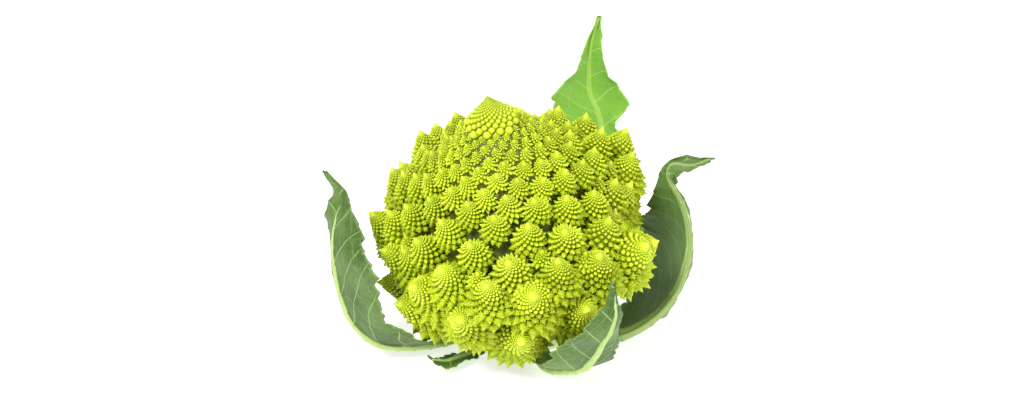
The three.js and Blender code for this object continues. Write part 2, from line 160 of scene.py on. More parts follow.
# %% A material and its nodes
class Finish:
    """The nodes of one material."""

    def __init__(self, name):
        self.material = bpy.data.materials.new(name)
        self.material.use_nodes = True
        self.tree = self.material.node_tree
        self.tree.nodes.clear()

    def node(self, kind, settings=None, inputs=None, output=0):
        """A node of any kind: its settings first, then the values or links of its sockets."""
        node = self.tree.nodes.new("ShaderNode" + kind)
        for setting, value in (settings or {}).items():
            if setting == "stops":
                self.set_stops(node.color_ramp, value)
            else:
                setattr(node, setting, value)
        for socket, value in (inputs or {}).items():
            if isinstance(value, Field):
                self.tree.links.new(value.socket, node.inputs[socket])
            else:
                node.inputs[socket].default_value = value
        return Field(self, node.outputs[output])

    def set_stops(self, ramp, stops):
        while len(ramp.elements) < len(stops):
            ramp.elements.new(1)
        for element, (position, shade) in zip(ramp.elements, stops):
            element.position = position
            element.color = shade

    def math(self, operation, *values):
        return self.node("Math", {"operation": operation}, dict(enumerate(values)))

    def step(self, value, low, high):
        """0 below low, 1 above high, and a smooth rise between them."""
        span = {"Value": value, "From Min": low, "From Max": high}
        return self.node("MapRange", {"interpolation_type": "SMOOTHSTEP"}, span)

    def mark(self, name):
        """A value that the mesh carries for each of its points."""
        return self.node("Attribute", {"attribute_name": name}, output="Fac")

    def ramp(self, value, stops):
        return self.node("ValToRGB", {"stops": stops}, {"Fac": value})

    def mix(self, share, first, second, blend="MIX"):
        """A share of the second colour laid over the first. Sockets 6 and 7 are the colours."""
        settings = {"data_type": "RGBA", "blend_type": blend}
        return self.node("Mix", settings, {0: share, 6: first, 7: second}, output=2)

    def noise(self, size_mm, detail=3.0, stretch=None):
        """Cloudy values from 0 to 1 whose patches are about size_mm across."""
        place = self.node("TexCoord", output="Object")
        if stretch is not None:
            place = self.node("VectorMath", {"operation": "MULTIPLY"}, {0: place, 1: stretch})
        inputs = {"Vector": place, "Scale": 1 / (size_mm * MM), "Detail": detail}
        return self.node("TexNoise", None, inputs)

    def bump(self, height, distance_mm, strength=1.0):
        inputs = {"Height": height, "Distance": distance_mm * MM, "Strength": strength}
        return self.node("Bump", None, inputs)

    def surface(self, **sockets):
        """The Principled shader with these sockets, joined to the material's output."""
        inputs = {}
        for name, value in sockets.items():
            inputs[name.replace("_", " ").title().replace("Ior", "IOR")] = value
        shader = self.node("BsdfPrincipled", None, inputs)
        output = self.tree.nodes.new("ShaderNodeOutputMaterial")
        self.tree.links.new(shader.socket, output.inputs["Surface"])
        return self.material


def shade(red, green, blue):
    """A screen colour from 0 to 255 as the linear light that shaders work in."""
    share = np.array((red, green, blue)) / 255
    linear = np.where(share <= 0.04045, share / 12.92, ((share + 0.055) / 1.055) ** 2.4)
    return (*linear.tolist(), 1.0)


# %% [markdown]
# # The outline of the head
# The tips of the florets lie on a surface of revolution that leans towards the viewer: a steep
# point, a long shoulder and a rounded foot. A smooth curve through a few points, given as shares
# of the head's radius and height, is the whole outline. It is walked by arc length, because
# growth is measured along the surface and not along the axis.

# %% Outline of the floret tips
HEAD_HEIGHT = 158
HEAD_RADIUS = 79
HEAD_FOOT = np.array((6.0, 10.0, -14.0))
LEAN_FORWARD = math.radians(15)
LEAN_LEFT = math.radians(9)
ENVELOPE_SHARES = [
    (0, 1), (0.09, 0.947), (0.19, 0.9), (0.33, 0.842), (0.55, 0.757),
    (0.75, 0.684), (0.91, 0.612), (1, 0.526), (1, 0.42), (0.94, 0.3),
    (0.81, 0.205), (0.64, 0.135), (0.5, 0.09), (0.36, 0.055), (0.24, 0.035),
]
ENVELOPE_SAMPLES = 4000


def smooth_curve(points, samples):
    """Points on a smooth curve through the given ones, with a cubic between each two."""
    spans = len(points) - 1
    place = np.linspace(0, spans, samples)
    first = np.minimum(place.astype(int), spans - 1)
    share = (place - first)[:, None]
    before = points[np.maximum(first - 1, 0)]
    start = points[first]
    end = points[first + 1]
    after = points[np.minimum(first + 2, spans)]
    leave = (end - before) / 2
    arrive = (after - start) / 2
    cubic = (2 * start - 2 * end + leave + arrive) * share**3
    square = (3 * end - 3 * start - 2 * leave - arrive) * share**2
    return cubic + square + leave * share + start


envelope_points = smooth_curve(np.array(ENVELOPE_SHARES) * (HEAD_RADIUS, HEAD_HEIGHT), ENVELOPE_SAMPLES)
envelope_steps = np.linalg.norm(np.diff(envelope_points, axis=0), axis=1)
envelope_arcs = np.concatenate(([0], np.cumsum(envelope_steps)))
ENVELOPE_LENGTH = envelope_arcs[-1]


def envelope(arc):
    """Radius and height of the outline at a distance along it from the head's tip."""
    radius = np.interp(arc, envelope_arcs, envelope_points[:, 0])
    return np.stack((radius, np.interp(arc, envelope_arcs, envelope_points[:, 1])), axis=-1)


def on_revolved(profile, along, angle, lift, step=0.01):
    """Points on a surface of revolution, raised along its normal."""
    point = profile(along)
    direction = profile(along + step) - profile(along - step)
    direction /= np.linalg.norm(direction, axis=-1, keepdims=True)
    radius = point[..., 0] - direction[..., 1] * lift
    height = point[..., 1] + direction[..., 0] * lift
    return np.stack((radius * np.cos(angle), radius * np.sin(angle), height), axis=-1)


# %% [markdown]
# # Swellings and hollows
# No head grows even. A few soft swellings and hollows, each with a middle, a reach and a height,
# lift the back of this one and sink its two flanks, where the leaves pressed on it.

# %% Swellings of the outline
SWELLINGS = [
    {"arc": 106, "angle": 350, "reach": 28, "lift": -18},
    {"arc": 110, "angle": 203, "reach": 26, "lift": -11},
    {"arc": 127, "angle": 329, "reach": 14, "lift": 9},
    {"arc": 92, "angle": 62, "reach": 22, "lift": 5},
    {"arc": 92, "angle": 28, "reach": 18, "lift": 10},
    {"arc": 86, "angle": 118, "reach": 28, "lift": 9},
]


def on_outline(arc, angle, lift):
    """Points over the outline of the head, with its swellings and hollows."""
    around = envelope(arc)[..., 0]
    for place in SWELLINGS:
        turn = angle - math.radians(place["angle"])
        apart = turn - 2 * math.pi * np.round(turn / (2 * math.pi))
        distance = np.hypot(arc - place["arc"], around * apart)
        lift = lift + place["lift"] * np.exp(-((distance / place["reach"]) ** 2))
    return on_revolved(envelope, arc, angle, lift)


def turned_from_up(axis):
    """The rotation that takes straight up to the given direction."""
    return np.array(Vector((0, 0, 1)).rotation_difference(Vector(axis)).to_matrix())


lean_up = np.array((-math.sin(LEAN_LEFT), -math.sin(LEAN_FORWARD), 0.0))
lean_up[2] = math.sqrt(1 - lean_up @ lean_up)
LEAN = turned_from_up(lean_up)


def leaned(points):
    return points @ LEAN.T + HEAD_FOOT


print("outline length in mm:", round(float(ENVELOPE_LENGTH), 1))

# %% [markdown]
# # The golden angle
# A growing tip sets each new bud 137.5 degrees round from the last, and older buds move outwards.
# The buds then line up in two families of spirals, here 8 one way and 13 the other. A bud's number
# says everything: its angle is the number times the golden angle, and its distance from the tip
# comes from the area that the buds before it take up.

# %% Numbers of the buds on the head
GOLDEN_ANGLE = math.pi * (3 - math.sqrt(5))
FIRST_ANGLE = math.radians(255)
HEAD_PAIR = (8, 13)
SPACING_AT_60 = 16.2
SPACING_POWER = 1.2
LARGEST_SPACING = 40
CELL_SHARE = 0.87
LATTICE_FROM = 8
FINEST_ARC = 1.6
ARC_STEP = 0.05


def spacing_at(arc):
    """Distance between neighbouring buds at a distance from the head's tip."""
    return np.minimum(SPACING_AT_60 * (arc / 60) ** SPACING_POWER, LARGEST_SPACING)


arc_grid = np.arange(FINEST_ARC, ENVELOPE_LENGTH, ARC_STEP)
ring_area = 2 * math.pi * envelope(arc_grid)[:, 0] * ARC_STEP
number_grid = np.cumsum(ring_area / (CELL_SHARE * spacing_at(arc_grid) ** 2))
number_grid -= np.interp(LATTICE_FROM, arc_grid, number_grid)


def arc_of(number):
    """Distance from the head's tip to the bud of a number, which may lie between two buds."""
    return np.interp(number, number_grid, arc_grid)


def turn_to(places):
    """Angle from a bud to the one that comes some places later, between -pi and pi."""
    turn = places * GOLDEN_ANGLE
    return turn - 2 * math.pi * round(turn / (2 * math.pi))


class Spirals:
    """The two families of spirals through a lattice of buds."""

    def __init__(self, pair):
        self.left = next(places for places in pair if turn_to(places) < 0)
        self.right = next(places for places in pair if turn_to(places) > 0)
        self.both = self.left + self.right
        self.turn_left = turn_to(self.left)
        self.turn_right = turn_to(self.right)
        self.middle_turn = (self.turn_left + self.turn_right) / 2

    def ring(self, first):
        """Numbers of the closed ring of buds at one end, anticlockwise seen from the tip."""
        ring = []
        place = 0
        for _ in range(self.both):
            ring.insert(0, first + place)
            place += self.left if place + self.left < self.both else -self.right
        return ring


head_spirals = Spirals(HEAD_PAIR)
FIRST_NUMBER = int(math.ceil(number_grid[0]))
LAST_NUMBER = int(number_grid[-1]) - head_spirals.both
print("buds on the head:", FIRST_NUMBER, "to", LAST_NUMBER)

# %% [markdown]
# # Growing a skin
# A mesh grows here in layers: points are added, and faces join them in fans and bands. One small
# class keeps the arrays, so that each shape below reads as a list of such steps. Points that no
# face uses are dropped at the end.

# %% Skin
class Skin:
    """Points, faces and marks of a mesh while it grows."""

    def __init__(self):
        self.points = np.zeros((0, 3))
        self.faces = np.zeros((0, 3), dtype=int)
        self.bud = np.zeros(0)

    def add(self, points, bud):
        """Adds points that stand at the given height on their bud, and returns their numbers."""
        start = len(self.points)
        self.points = np.concatenate((self.points, points))
        self.bud = np.concatenate((self.bud, np.broadcast_to(bud, len(points))))
        return start + np.arange(len(points))

    def face(self, *corners):
        self.faces = np.concatenate((self.faces, np.stack(corners, axis=1)))

    def fan(self, tip, ring):
        """Faces from one point to the sides of a ring that runs anticlockwise round it."""
        ring = np.asarray(ring)
        self.face(np.full(len(ring), tip), ring, np.roll(ring, -1))

    def band(self, upper, lower):
        """Faces between two rings with as many points, both anticlockwise seen from above."""
        self.face(upper, lower, np.roll(lower, -1))
        self.face(upper, np.roll(lower, -1), np.roll(upper, -1))

    def add_middle(self, height, bud):
        """Adds one point on the axis, and returns its number."""
        return self.add(np.array([(0, 0, height)]), bud)[0]

    def add_ring(self, radius, height, angles, bud):
        """Adds a level ring of points round the axis."""
        around = (radius * np.cos(angles), radius * np.sin(angles), np.full(len(angles), height))
        return self.add(np.stack(around, axis=1), bud)

    def close_below(self, ring, necks):
        """Closes a skin with rings of a radius and a height, and a middle point under the last."""
        ring = np.asarray(ring)
        angles = np.arctan2(self.points[ring, 1], self.points[ring, 0])
        for radius, height in necks:
            below = self.add_ring(radius, height, angles, -1)
            self.band(ring, below)
            ring = below
        self.fan(self.add_middle(necks[-1][1], -1), ring[::-1])

    def turned(self, tip, rows, sides):
        """Adds a closed turned shape: its tip, then rows of a radius, a height and a bud mark."""
        angles = np.arange(sides) * 2 * math.pi / sides
        top = self.add_middle(tip, 1)
        rings = [self.add_ring(radius, height, angles, bud) for radius, height, bud in rows]
        self.fan(top, rings[0])
        for upper, lower in zip(rings, rings[1:]):
            self.band(upper, lower)
        self.fan(self.add_middle(*rows[-1][1:]), rings[-1][::-1])

    def add_copies(self, other, turns, places, scales, bud_from=0.0):
        """Adds a copy of another skin for each rotation, place and scale."""
        copies = np.einsum("nij,pj->npi", turns * scales[:, None, None], other.points)
        copies += places[:, None, :]
        start = len(self.points)
        offsets = start + np.arange(len(places)) * len(other.points)
        bud = bud_from + (1 - bud_from) * other.bud
        self.points = np.concatenate((self.points, copies.reshape(-1, 3)))
        self.bud = np.concatenate((self.bud, np.tile(bud, len(places))))
        faces = other.faces[None, :, :] + offsets[:, None, None]
        self.faces = np.concatenate((self.faces, faces.reshape(-1, 3)))

    def tidy(self):
        """Drops the points that no face uses."""
        used, places = np.unique(self.faces, return_inverse=True)
        self.points = self.points[used]
        self.bud = self.bud[used]
        self.faces = places.reshape(self.faces.shape)
        return self


# %% [markdown]
# # A surface of buds
# Four neighbouring points of the lattice make a cell, and a bud rises in each cell. The valley
# between the buds runs along the cell's sides, so the cells share their points and the surface
# stays one closed skin. A fine bud is a plain pyramid, which smooth shading rounds off. A bud that
# shows well gets rings of points between its tip and the valley, and eight sides in place of four.

# %% Buds in the cells of a lattice
CORNERS = [(0, 0), (1, 0), (1, 1), (0, 1)]
ROUND_CORNERS = [(0, 0), (0.5, 0), (1, 0), (1, 0.5), (1, 1), (0.5, 1), (0, 1), (0, 0.5)]
CORNER_PULL = 0.82


def grow_buds(skin, place, first, count, spirals, low, high, rings=(), rounded=False):
    """Adds the buds of count cells to a skin, and returns its open rings at the top and the base.

    place turns numbers, angles and lifts into points. Each of the rings is a share of the way
    from a bud's tip to the valley, with the bud's height there.
    """
    grid = first + np.arange(count + spirals.both)
    cell = first + np.arange(count)
    corner = skin.add(place(grid, grid * GOLDEN_ANGLE, np.full(len(grid), low)), 0)
    families = {spirals.left: spirals.turn_left, spirals.right: spirals.turn_right}
    middles = {}
    if rounded:
        for places, turn in families.items():
            angle = grid * GOLDEN_ANGLE + turn / 2
            middles[places] = skin.add(place(grid + places / 2, angle, np.full(len(grid), low)), 0)

    start = cell - first
    left, right = spirals.left, spirals.right
    edge = []
    round_the_cell = ((0, left, 0), (left, right, left), (left + right, left, right), (right, right, 0))
    for offset, family, before in round_the_cell:
        edge.append(corner[start + offset])
        if rounded:
            edge.append(middles[family][start + before])

    tip_angle = cell * GOLDEN_ANGLE + spirals.middle_turn
    tip = skin.add(place(cell + spirals.both / 2, tip_angle, np.full(count, high)), 1)
    steps = ROUND_CORNERS if rounded else CORNERS
    loops = []
    for share, height in rings:
        loop = []
        for across, up in steps:
            pull = CORNER_PULL if rounded and 0.5 not in (across, up) else 1
            u = 0.5 + share * pull * (across - 0.5)
            v = 0.5 + share * pull * (up - 0.5)
            angle = cell * GOLDEN_ANGLE + u * spirals.turn_left + v * spirals.turn_right
            lift = np.full(count, low + (high - low) * height)
            loop.append(skin.add(place(cell + u * left + v * right, angle, lift), height))
        loops.append(loop)
    loops.append(edge)

    sides = len(steps)
    for k in range(sides):
        after = (k + 1) % sides
        skin.face(tip, loops[0][k], loops[0][after])
        for inside, outside in zip(loops, loops[1:]):
            skin.face(inside[k], outside[k], outside[after])
            skin.face(inside[k], outside[after], inside[after])

    def open_ring(number):
        ring = []
        numbers = spirals.ring(number)
        for here, there in zip(numbers, numbers[1:] + numbers[:1]):
            ring.append(corner[here - first])
            if rounded:
                ring.append(middles[abs(there - here)][min(here, there) - first])
        return ring

    return open_ring(first), open_ring(first + count)


# %% [markdown]
# # Cones of buds
# A floret is the head again at a smaller size: a blunt cone of buds with its rim turned down, on
# a smooth neck. Along a cone a bud's width grows in step with its distance from the tip, so the
# distance is an exponential of the bud's number. The rim is at number 0 and distance 1. The rows
# of the smooth body are such distances, each with its bud mark.

# %% Cone
RIM_SWING = math.radians(66)
RELIEF_AT_TIP = 0.55
PAST_RIM = 1.18
BODY_ROWS = ((0.06, 0.95), (0.13, 0.85), (0.22, 0.4), (0.4, 0.1), (0.7, 0.0), (1.0, 0.0), (PAST_RIM, 0.0))
BODY_SIDES = 16


class Cone:
    """The lattice and outline of a floret of unit width with its tip at the origin."""

    def __init__(self, pair, height, radius, bud_share, finest, past_rim):
        self.spirals = Spirals(pair)
        self.height = height
        self.radius = radius
        self.bud_share = bud_share
        rim = self.outline(np.array(1.0))
        slant = float(np.hypot(*rim))
        self.growth = bud_share**2 / (2 * math.pi * float(rim[0]) * slant)
        half = self.spirals.both // 2
        self.first = math.floor(math.log(finest) / self.growth) - half
        self.count = math.ceil(math.log(past_rim) / self.growth) - half - self.first

    def outline(self, along):
        across = self.radius * np.sin(along * RIM_SWING) / math.sin(RIM_SWING)
        return np.stack((across, -self.height * along), axis=-1)

    def along(self, number):
        return np.exp(self.growth * number)

    def place(self, number, angle, lift):
        along = self.along(number)
        inside = np.minimum(along, 1)
        relief = RELIEF_AT_TIP + (1 - RELIEF_AT_TIP) * inside
        return on_revolved(self.outline, along, angle, lift * relief * self.bud_share * inside, step=0.002)

    def body(self, sink, necks):
        """The closed smooth cone that beads stand on, a little smaller than the outline."""
        skin = Skin()
        rows = []
        for along, bud in BODY_ROWS:
            radius, height = self.outline(np.array(along))
            rows.append((radius - sink * along, height, bud))
        rows += [(radius, height, -1) for radius, height in necks]
        skin.turned(0, rows, BODY_SIDES)
        return skin

    def grow(self, low, high, necks):
        """The closed skin of the cone's buds."""
        skin = Skin()
        top, base = grow_buds(skin, self.place, self.first, self.count, self.spirals, low, high)
        skin.fan(skin.add_middle(0, 1), top)
        skin.close_below(base, necks)
        return skin.tidy()


# %% [markdown]
# # Turning copies into place
# Copies of a bud stand on the surface under them, so each needs a rotation from straight up to its
# own axis. The rotation is a frame of three directions, with a turn about the axis so that
# neighbours don't look alike. Any variation comes from a formula of the bud's number, which gives
# the same head each time.

# %% Frames and variation
NEARLY_UP = 0.9
NUMBER_STEP = 12.9898
KIND_STEP = 78.233
WAVE_HEIGHT = 43758.5453


def unit(vectors):
    """The vectors with their lengths made 1."""
    return vectors / np.linalg.norm(vectors, axis=-1, keepdims=True)


def frames_along(axes, rolls):
    """Rotations that take straight up to each axis after a turn about it."""
    leaning = np.abs(axes[:, 2:]) < NEARLY_UP
    helper = np.where(leaning, (0.0, 0.0, 1.0), (1.0, 0.0, 0.0))
    side = unit(np.cross(helper, axes))
    other = np.cross(axes, side)
    cosine, sine = np.cos(rolls)[:, None], np.sin(rolls)[:, None]
    return np.stack((side * cosine + other * sine, other * cosine - side * sine, axes), axis=2)


def vary(numbers, kind):
    """Repeatable variation between -0.5 and 0.5 for each number, from the far digits of a sine."""
    wave = np.sin(numbers * NUMBER_STEP + kind * KIND_STEP) * WAVE_HEIGHT
    return wave - np.floor(wave) - 0.5


# %% [markdown]
# # Beads and pointed buds
# The smallest buds are beads: round near the tip of a floret and pointed near its rim, where they
# have grown longest. They are turned shapes with few sides, since there are thousands of them. On
# the middle and large florets the buds at the rim are big enough to be cones of buds themselves, so
# two such cones are grown as well. A relief on a lattice is enough at their size.

# %% Beads and buds
ROUND_BEAD = [(0.27, -0.1, 0.9), (0.48, -0.42, 0.4), (0.4, -0.85, 0.0)]
POINTED_BEAD = [(0.2, -0.34, 0.85), (0.43, -0.85, 0.35), (0.37, -1.2, 0.0)]
BEAD_SIDES = 6
SMALL_BEAD_SIDES = 5


def turned_bead(rows, sides):
    """A bead of unit size from rows of a radius, a height and a bud mark."""
    bead = Skin()
    bead.turned(0, rows, sides)
    return bead


round_bead = turned_bead(ROUND_BEAD, SMALL_BEAD_SIDES)
pointed_bead = turned_bead(POINTED_BEAD, BEAD_SIDES)
rim_bud = Cone(pair=(5, 8), height=0.95, radius=0.44, bud_share=0.31, finest=0.42, past_rim=0.95)
rim_bud_skin = rim_bud.grow(low=-0.2, high=0.5, necks=[(0.3, -1.2)])
inner_bud = Cone(pair=(3, 5), height=0.78, radius=0.44, bud_share=0.4, finest=0.45, past_rim=0.95)
inner_bud_skin = inner_bud.grow(low=-0.16, high=0.46, necks=[(0.3, -1.0)])
print("triangles on a bead:", len(round_bead.faces), "a rim bud:", len(rim_bud_skin.faces))
print("triangles on an inner bud:", len(inner_bud_skin.faces))

# %% [markdown]
# # The florets
# Four sizes of floret are grown once each as a unit shape, in two or three heights. Each is a
# smooth cone with a pale tip, and a bud stands in every cell of its own lattice. The sizes differ
# in how many buds they have and in where the round beads give way to pointed ones and to cones of
# buds. A stage in the lists below is a bud, where it begins and ends between the tip at 0 and the
# rim at 1, its size, and how far it leans to the tip.

# %% Floret kinds
FLORET_PAIR = (8, 13)
NECKS = [(0.3, -1.1), (0.2, -1.35)]
FLORET_RADIUS = 0.385
SINK = 0.05
SEAT = 0.42
LEAN_VARIATION = 0.3
GROWTH_VARIATION = 0.16
BUD_FROM = 0.15


def stand_buds(skin, cone, template, start, stop, grow, lean, seed):
    """Stands copies of a bud in the cells between two distances along a floret."""
    cells = cone.first + np.arange(cone.count)
    centre = cells + cone.spirals.both / 2
    along = cone.along(centre)
    chosen = (along >= start) & (along < stop)
    cells, centre, along = cells[chosen], centre[chosen], along[chosen]
    angle = cells * GOLDEN_ANGLE + cone.spirals.middle_turn
    foot = cone.place(centre, angle, 0)
    out = unit(cone.place(centre, angle, 1) - foot)
    upward = unit(out * (1 - lean) + np.array((0, 0, lean)))
    tilt = np.stack((vary(cells, seed), vary(cells, seed + 1), vary(cells, seed + 2)), axis=1)
    axes = unit(upward + LEAN_VARIATION * tilt)
    size = cone.bud_share * np.minimum(along, 1.0) * grow
    width = size * (1 + GROWTH_VARIATION * vary(cells, seed + 3))
    tall = -template.points[:, 2].min()
    tips = foot + axes * (width * (tall - SEAT))[:, None]
    skin.add_copies(template, frames_along(axes, cells), tips, width, bud_from=BUD_FROM)


def floret(height, bud_share, finest, stages, seed):
    """The skin of a floret whose buds stand on it in stages, and its height."""
    cone = Cone(FLORET_PAIR, height, FLORET_RADIUS, bud_share, finest, PAST_RIM)
    skin = cone.body(SINK, NECKS)
    for stage, (template, start, stop, grow, lean) in enumerate(stages):
        stand_buds(skin, cone, template, start, stop, grow, lean, seed + 10 * stage)
    return skin, height


FLORET_HEIGHTS = (0.68, 0.74, 0.8)
BEADED = [(round_bead, 0, 0.7, 1.1, 0.2), (pointed_bead, 0.7, 1.3, 1.25, 0)]
BRISTLING = [
    (round_bead, 0, 0.5, 1.1, 0.2),
    (pointed_bead, 0.5, 0.84, 1.15, 0.1),
    (inner_bud_skin, 0.84, 1.3, 1.25, -0.1),
]
BRANCHING = [
    (round_bead, 0, 0.46, 1.1, 0.2),
    (inner_bud_skin, 0.46, 0.76, 1.12, 0.1),
    (rim_bud_skin, 0.76, 1.3, 1.3, -0.15),
]
FLORET_KINDS = {
    "fine": {"bud_share": 0.24, "finest": 0.34, "stages": BEADED, "seed": 40},
    "small": {"bud_share": 0.185, "finest": 0.24, "stages": BEADED, "seed": 80},
    "middle": {"bud_share": 0.172, "finest": 0.2, "stages": BRISTLING, "seed": 120},
    "large": {"bud_share": 0.155, "finest": 0.13, "stages": BRANCHING, "seed": 160},
}
floret_shapes = {}
for kind, shape in FLORET_KINDS.items():
    heights = FLORET_HEIGHTS[:2] if kind == "fine" else FLORET_HEIGHTS
    floret_shapes[kind] = [floret(height, **shape) for height in heights]
    print("triangles on a", kind, "floret:", [len(skin.faces) for skin, _ in floret_shapes[kind]])

# %% [markdown]
# # Placing the florets on the head
# Each floret sits in its cell of the head's lattice, sunk by its own height, and its axis turns up
# towards the head's tip as a growing branch does. The lattice decides everything, so the spirals
# of the head show by themselves. The florets are widest for their cells near the crown, where they
# crowd, and narrowest at the foot, where they stand apart.

# %% Places of the florets
WIDTH_ARCS = (19, 50, 60, 120)
WIDTH_SHARES = (1.2, 1.05, 1.02, 0.93)
TIP_SHARE = 0.72
UPTURN = 0.5
WIDTH_VARIATION = 0.15
TILT_VARIATION = 0.28
FLORETS_FROM_ARC = 19
GAP_WIDTH_SHARE = 0.46
GAP_DEPTH = 0.26
ROLL_STEP = 2.4


def cell_middles(numbers):
    """Distance from the head's tip, and angle, of the middles of its cells."""
    angle = FIRST_ANGLE + numbers * GOLDEN_ANGLE + head_spirals.middle_turn
    return arc_of(numbers + head_spirals.both / 2), angle


def growing_axes(arc, angle, upturn):
    """Directions out of the head's outline, turned up towards its tip."""
    outward = on_outline(arc, angle, 1) - on_outline(arc, angle, 0)
    return outward * (1 - upturn) + np.array((0, 0, upturn))


def grow_florets(name, numbers, kind, finish, in_gaps=False):
    """One piece with the florets of the given numbers, in their cells or at the cells' corners."""
    skin = Skin()
    rims, tones, arcs = [], [], []
    if in_gaps:
        arc, angle = arc_of(numbers), FIRST_ANGLE + numbers * GOLDEN_ANGLE
        share, depth = GAP_WIDTH_SHARE, GAP_DEPTH
    else:
        arc, angle = cell_middles(numbers)
        share, depth = 1, 0
    share = share * np.interp(arc, WIDTH_ARCS, WIDTH_SHARES)
    width = share * spacing_at(arc) * (1 + WIDTH_VARIATION * vary(numbers, 1))
    base = on_outline(arc, angle, -TIP_SHARE * width - depth * spacing_at(arc))
    tilt = np.stack((vary(numbers, 2), vary(numbers, 3), np.zeros(len(numbers))), axis=1)
    axes = unit(growing_axes(arc, angle, UPTURN) + TILT_VARIATION * tilt)
    tips = base + axes * (TIP_SHARE * width)[:, None]
    turns = frames_along(axes, numbers * ROLL_STEP)
    shapes = floret_shapes[kind]
    which = (vary(numbers, 5) + 0.5) * len(shapes)
    for k, (shape, height) in enumerate(shapes):
        chosen = which.astype(int) == k
        size = len(shape.points)
        skin.add_copies(shape, turns[chosen], tips[chosen], width[chosen])
        rims.append(np.tile(-shape.points[:, 2] / height, int(chosen.sum())))
        tones.append(np.repeat(vary(numbers[chosen], 6) + 0.5, size))
        arcs.append(np.repeat(arc[chosen], size))
    marks = {"bud": skin.bud}
    for mark, values in (("rim", rims), ("tone", tones), ("arc", arcs)):
        marks[mark] = np.concatenate(values)
    piece = make_piece(name, leaned(skin.points), skin.faces, marks, finish)
    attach(piece, "root")
    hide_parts("curd")
    return piece


# %% [markdown]
# # The finish of the curd
# The florets are one yellow green. What makes them readable is a range of tones that follows the
# shape: the tips of the buds are painted pale as a highlight, the flanks are saturated, and the
# valleys get painted shade in a dark olive, as do the undersides and necks of the florets and the
# body between them. The marks on the mesh give all that. A little scattering under the surface
# softens the shadows, as in any plant flesh, and a fine grain breaks the highlights.

# %% Curd finish
# Painted shade and highlight: the valley colour is shade painted into the crevices between buds, and the tip
# colour is a highlight painted on the bud tops.
CURD_VALLEY_SHADE = shade(104, 120, 0)
CURD_FLANK = shade(164, 184, 6)
CURD_BUD = shade(194, 212, 26)
CURD_TIP = shade(210, 224, 72)
CURD_NECK_SHADE = shade(112, 128, 4)
CURD_CROWN = shade(176, 186, 50)
CURD_SHADE = shade(214, 222, 150)
PALE_TIP_SHARE = 0.25
UNDERSIDE_SHADE_SHARE = 0.55
CROWN_SHARE = 0.6
PALE_CROWN_ARCS = (3, 22)
LIGHTNESS = 0.86
FLORET_TONE_RANGE = 0.2
PATCH_RANGE = 0.12

curd = Finish("curd_finish")
bud_height = curd.mark("bud")
rim_share = curd.mark("rim")
floret_tone_and_core_shade = curd.mark("tone")
head_arc = curd.mark("arc")
patches = curd.noise(9)
grain = curd.noise(0.5, detail=2.0)
# The ramp up each bud paints shade into the valleys and a highlight on the tips.
height_shade_and_highlight = curd.ramp(
    bud_height + (patches - 0.5) * 0.3,
    [(0.0, CURD_VALLEY_SHADE), (0.32, CURD_FLANK), (0.75, CURD_BUD), (1.0, CURD_TIP)],
)
toned = curd.mix((1 - curd.step(rim_share, 0.0, 0.4)) * PALE_TIP_SHARE, height_shade_and_highlight, CURD_TIP)
# Painted shade: below a floret's rim, and on the body under the florets, the colour is multiplied darker.
under = curd.step(rim_share, 0.95, 1.3)
toned = curd.mix(under * UNDERSIDE_SHADE_SHARE, toned, CURD_SHADE, blend="MULTIPLY")
# Painted shade: the necks of the florets, down in the gaps, are painted dark olive.
neck = 1 - curd.step(bud_height, -0.9, -0.05)
toned = curd.mix(neck, toned, CURD_NECK_SHADE)
toned = curd.mix((1 - curd.step(head_arc, *PALE_CROWN_ARCS)) * CROWN_SHARE, toned, CURD_CROWN)
# The tone mark varies each floret at random, and on the body under the florets it is set low as painted
# shade.
lightness = LIGHTNESS + floret_tone_and_core_shade * FLORET_TONE_RANGE + (patches - 0.5) * PATCH_RANGE
value = curd.node("HueSaturation", None, {"Value": lightness, "Color": toned})
relief = curd.bump(grain, 0.12, strength=0.35)
curd_finish = curd.surface(
    base_color=value,
    roughness=0.5 + (grain - 0.5) * 0.2,
    specular_ior_level=0.3,
    normal=relief,
    subsurface_weight=0.12,
    subsurface_radius=(1.0, 0.9, 0.3),
    subsurface_scale=1.6 * MM,
)

# %% [markdown]
# # The crown
# Near the head's tip the buds are too small to have buds of their own. They are plain beads, and
# they go on up to the tip with less than half a millimetre between them. The finest are a relief on
# the lattice. From the size at which the eye tells them apart, a round bead stands in each cell.

# %% Crown of beads
CROWN_RINGS = ((0.36, 0.92), (0.7, 0.62))
CROWN_LOW = -0.6
CROWN_HIGH = -0.1
CROWN_BEAD_SIDES = 8
CROWN_BEADS_FROM = 0.9
CROWN_BEAD_WIDTH = 1.06
CROWN_BEAD_LIFT = 0.18
CROWN_UPTURN = 0.25
CROWN_NECKS = [(11, 128), (6, 118)]
CROWN_TONE = 0.3


def on_head(number, angle, lift):
    """Points over the outline of the head, with the lift as a share of the buds' spacing."""
    arc = arc_of(number)
    return on_outline(arc, angle + FIRST_ANGLE, lift * spacing_at(arc))


florets_from = int(np.interp(FLORETS_FROM_ARC, arc_grid, number_grid)) - head_spirals.both // 2
crown_skin = Skin()
crown_count = florets_from - FIRST_NUMBER
crown_top, crown_base = grow_buds(
    crown_skin, on_head, FIRST_NUMBER, crown_count, head_spirals,
    CROWN_LOW, CROWN_HIGH, CROWN_RINGS, rounded=True,
)
crown_skin.fan(crown_skin.add_middle(HEAD_HEIGHT, 1), crown_top)
crown_skin.close_below(crown_base, CROWN_NECKS)
crown_skin.tidy()

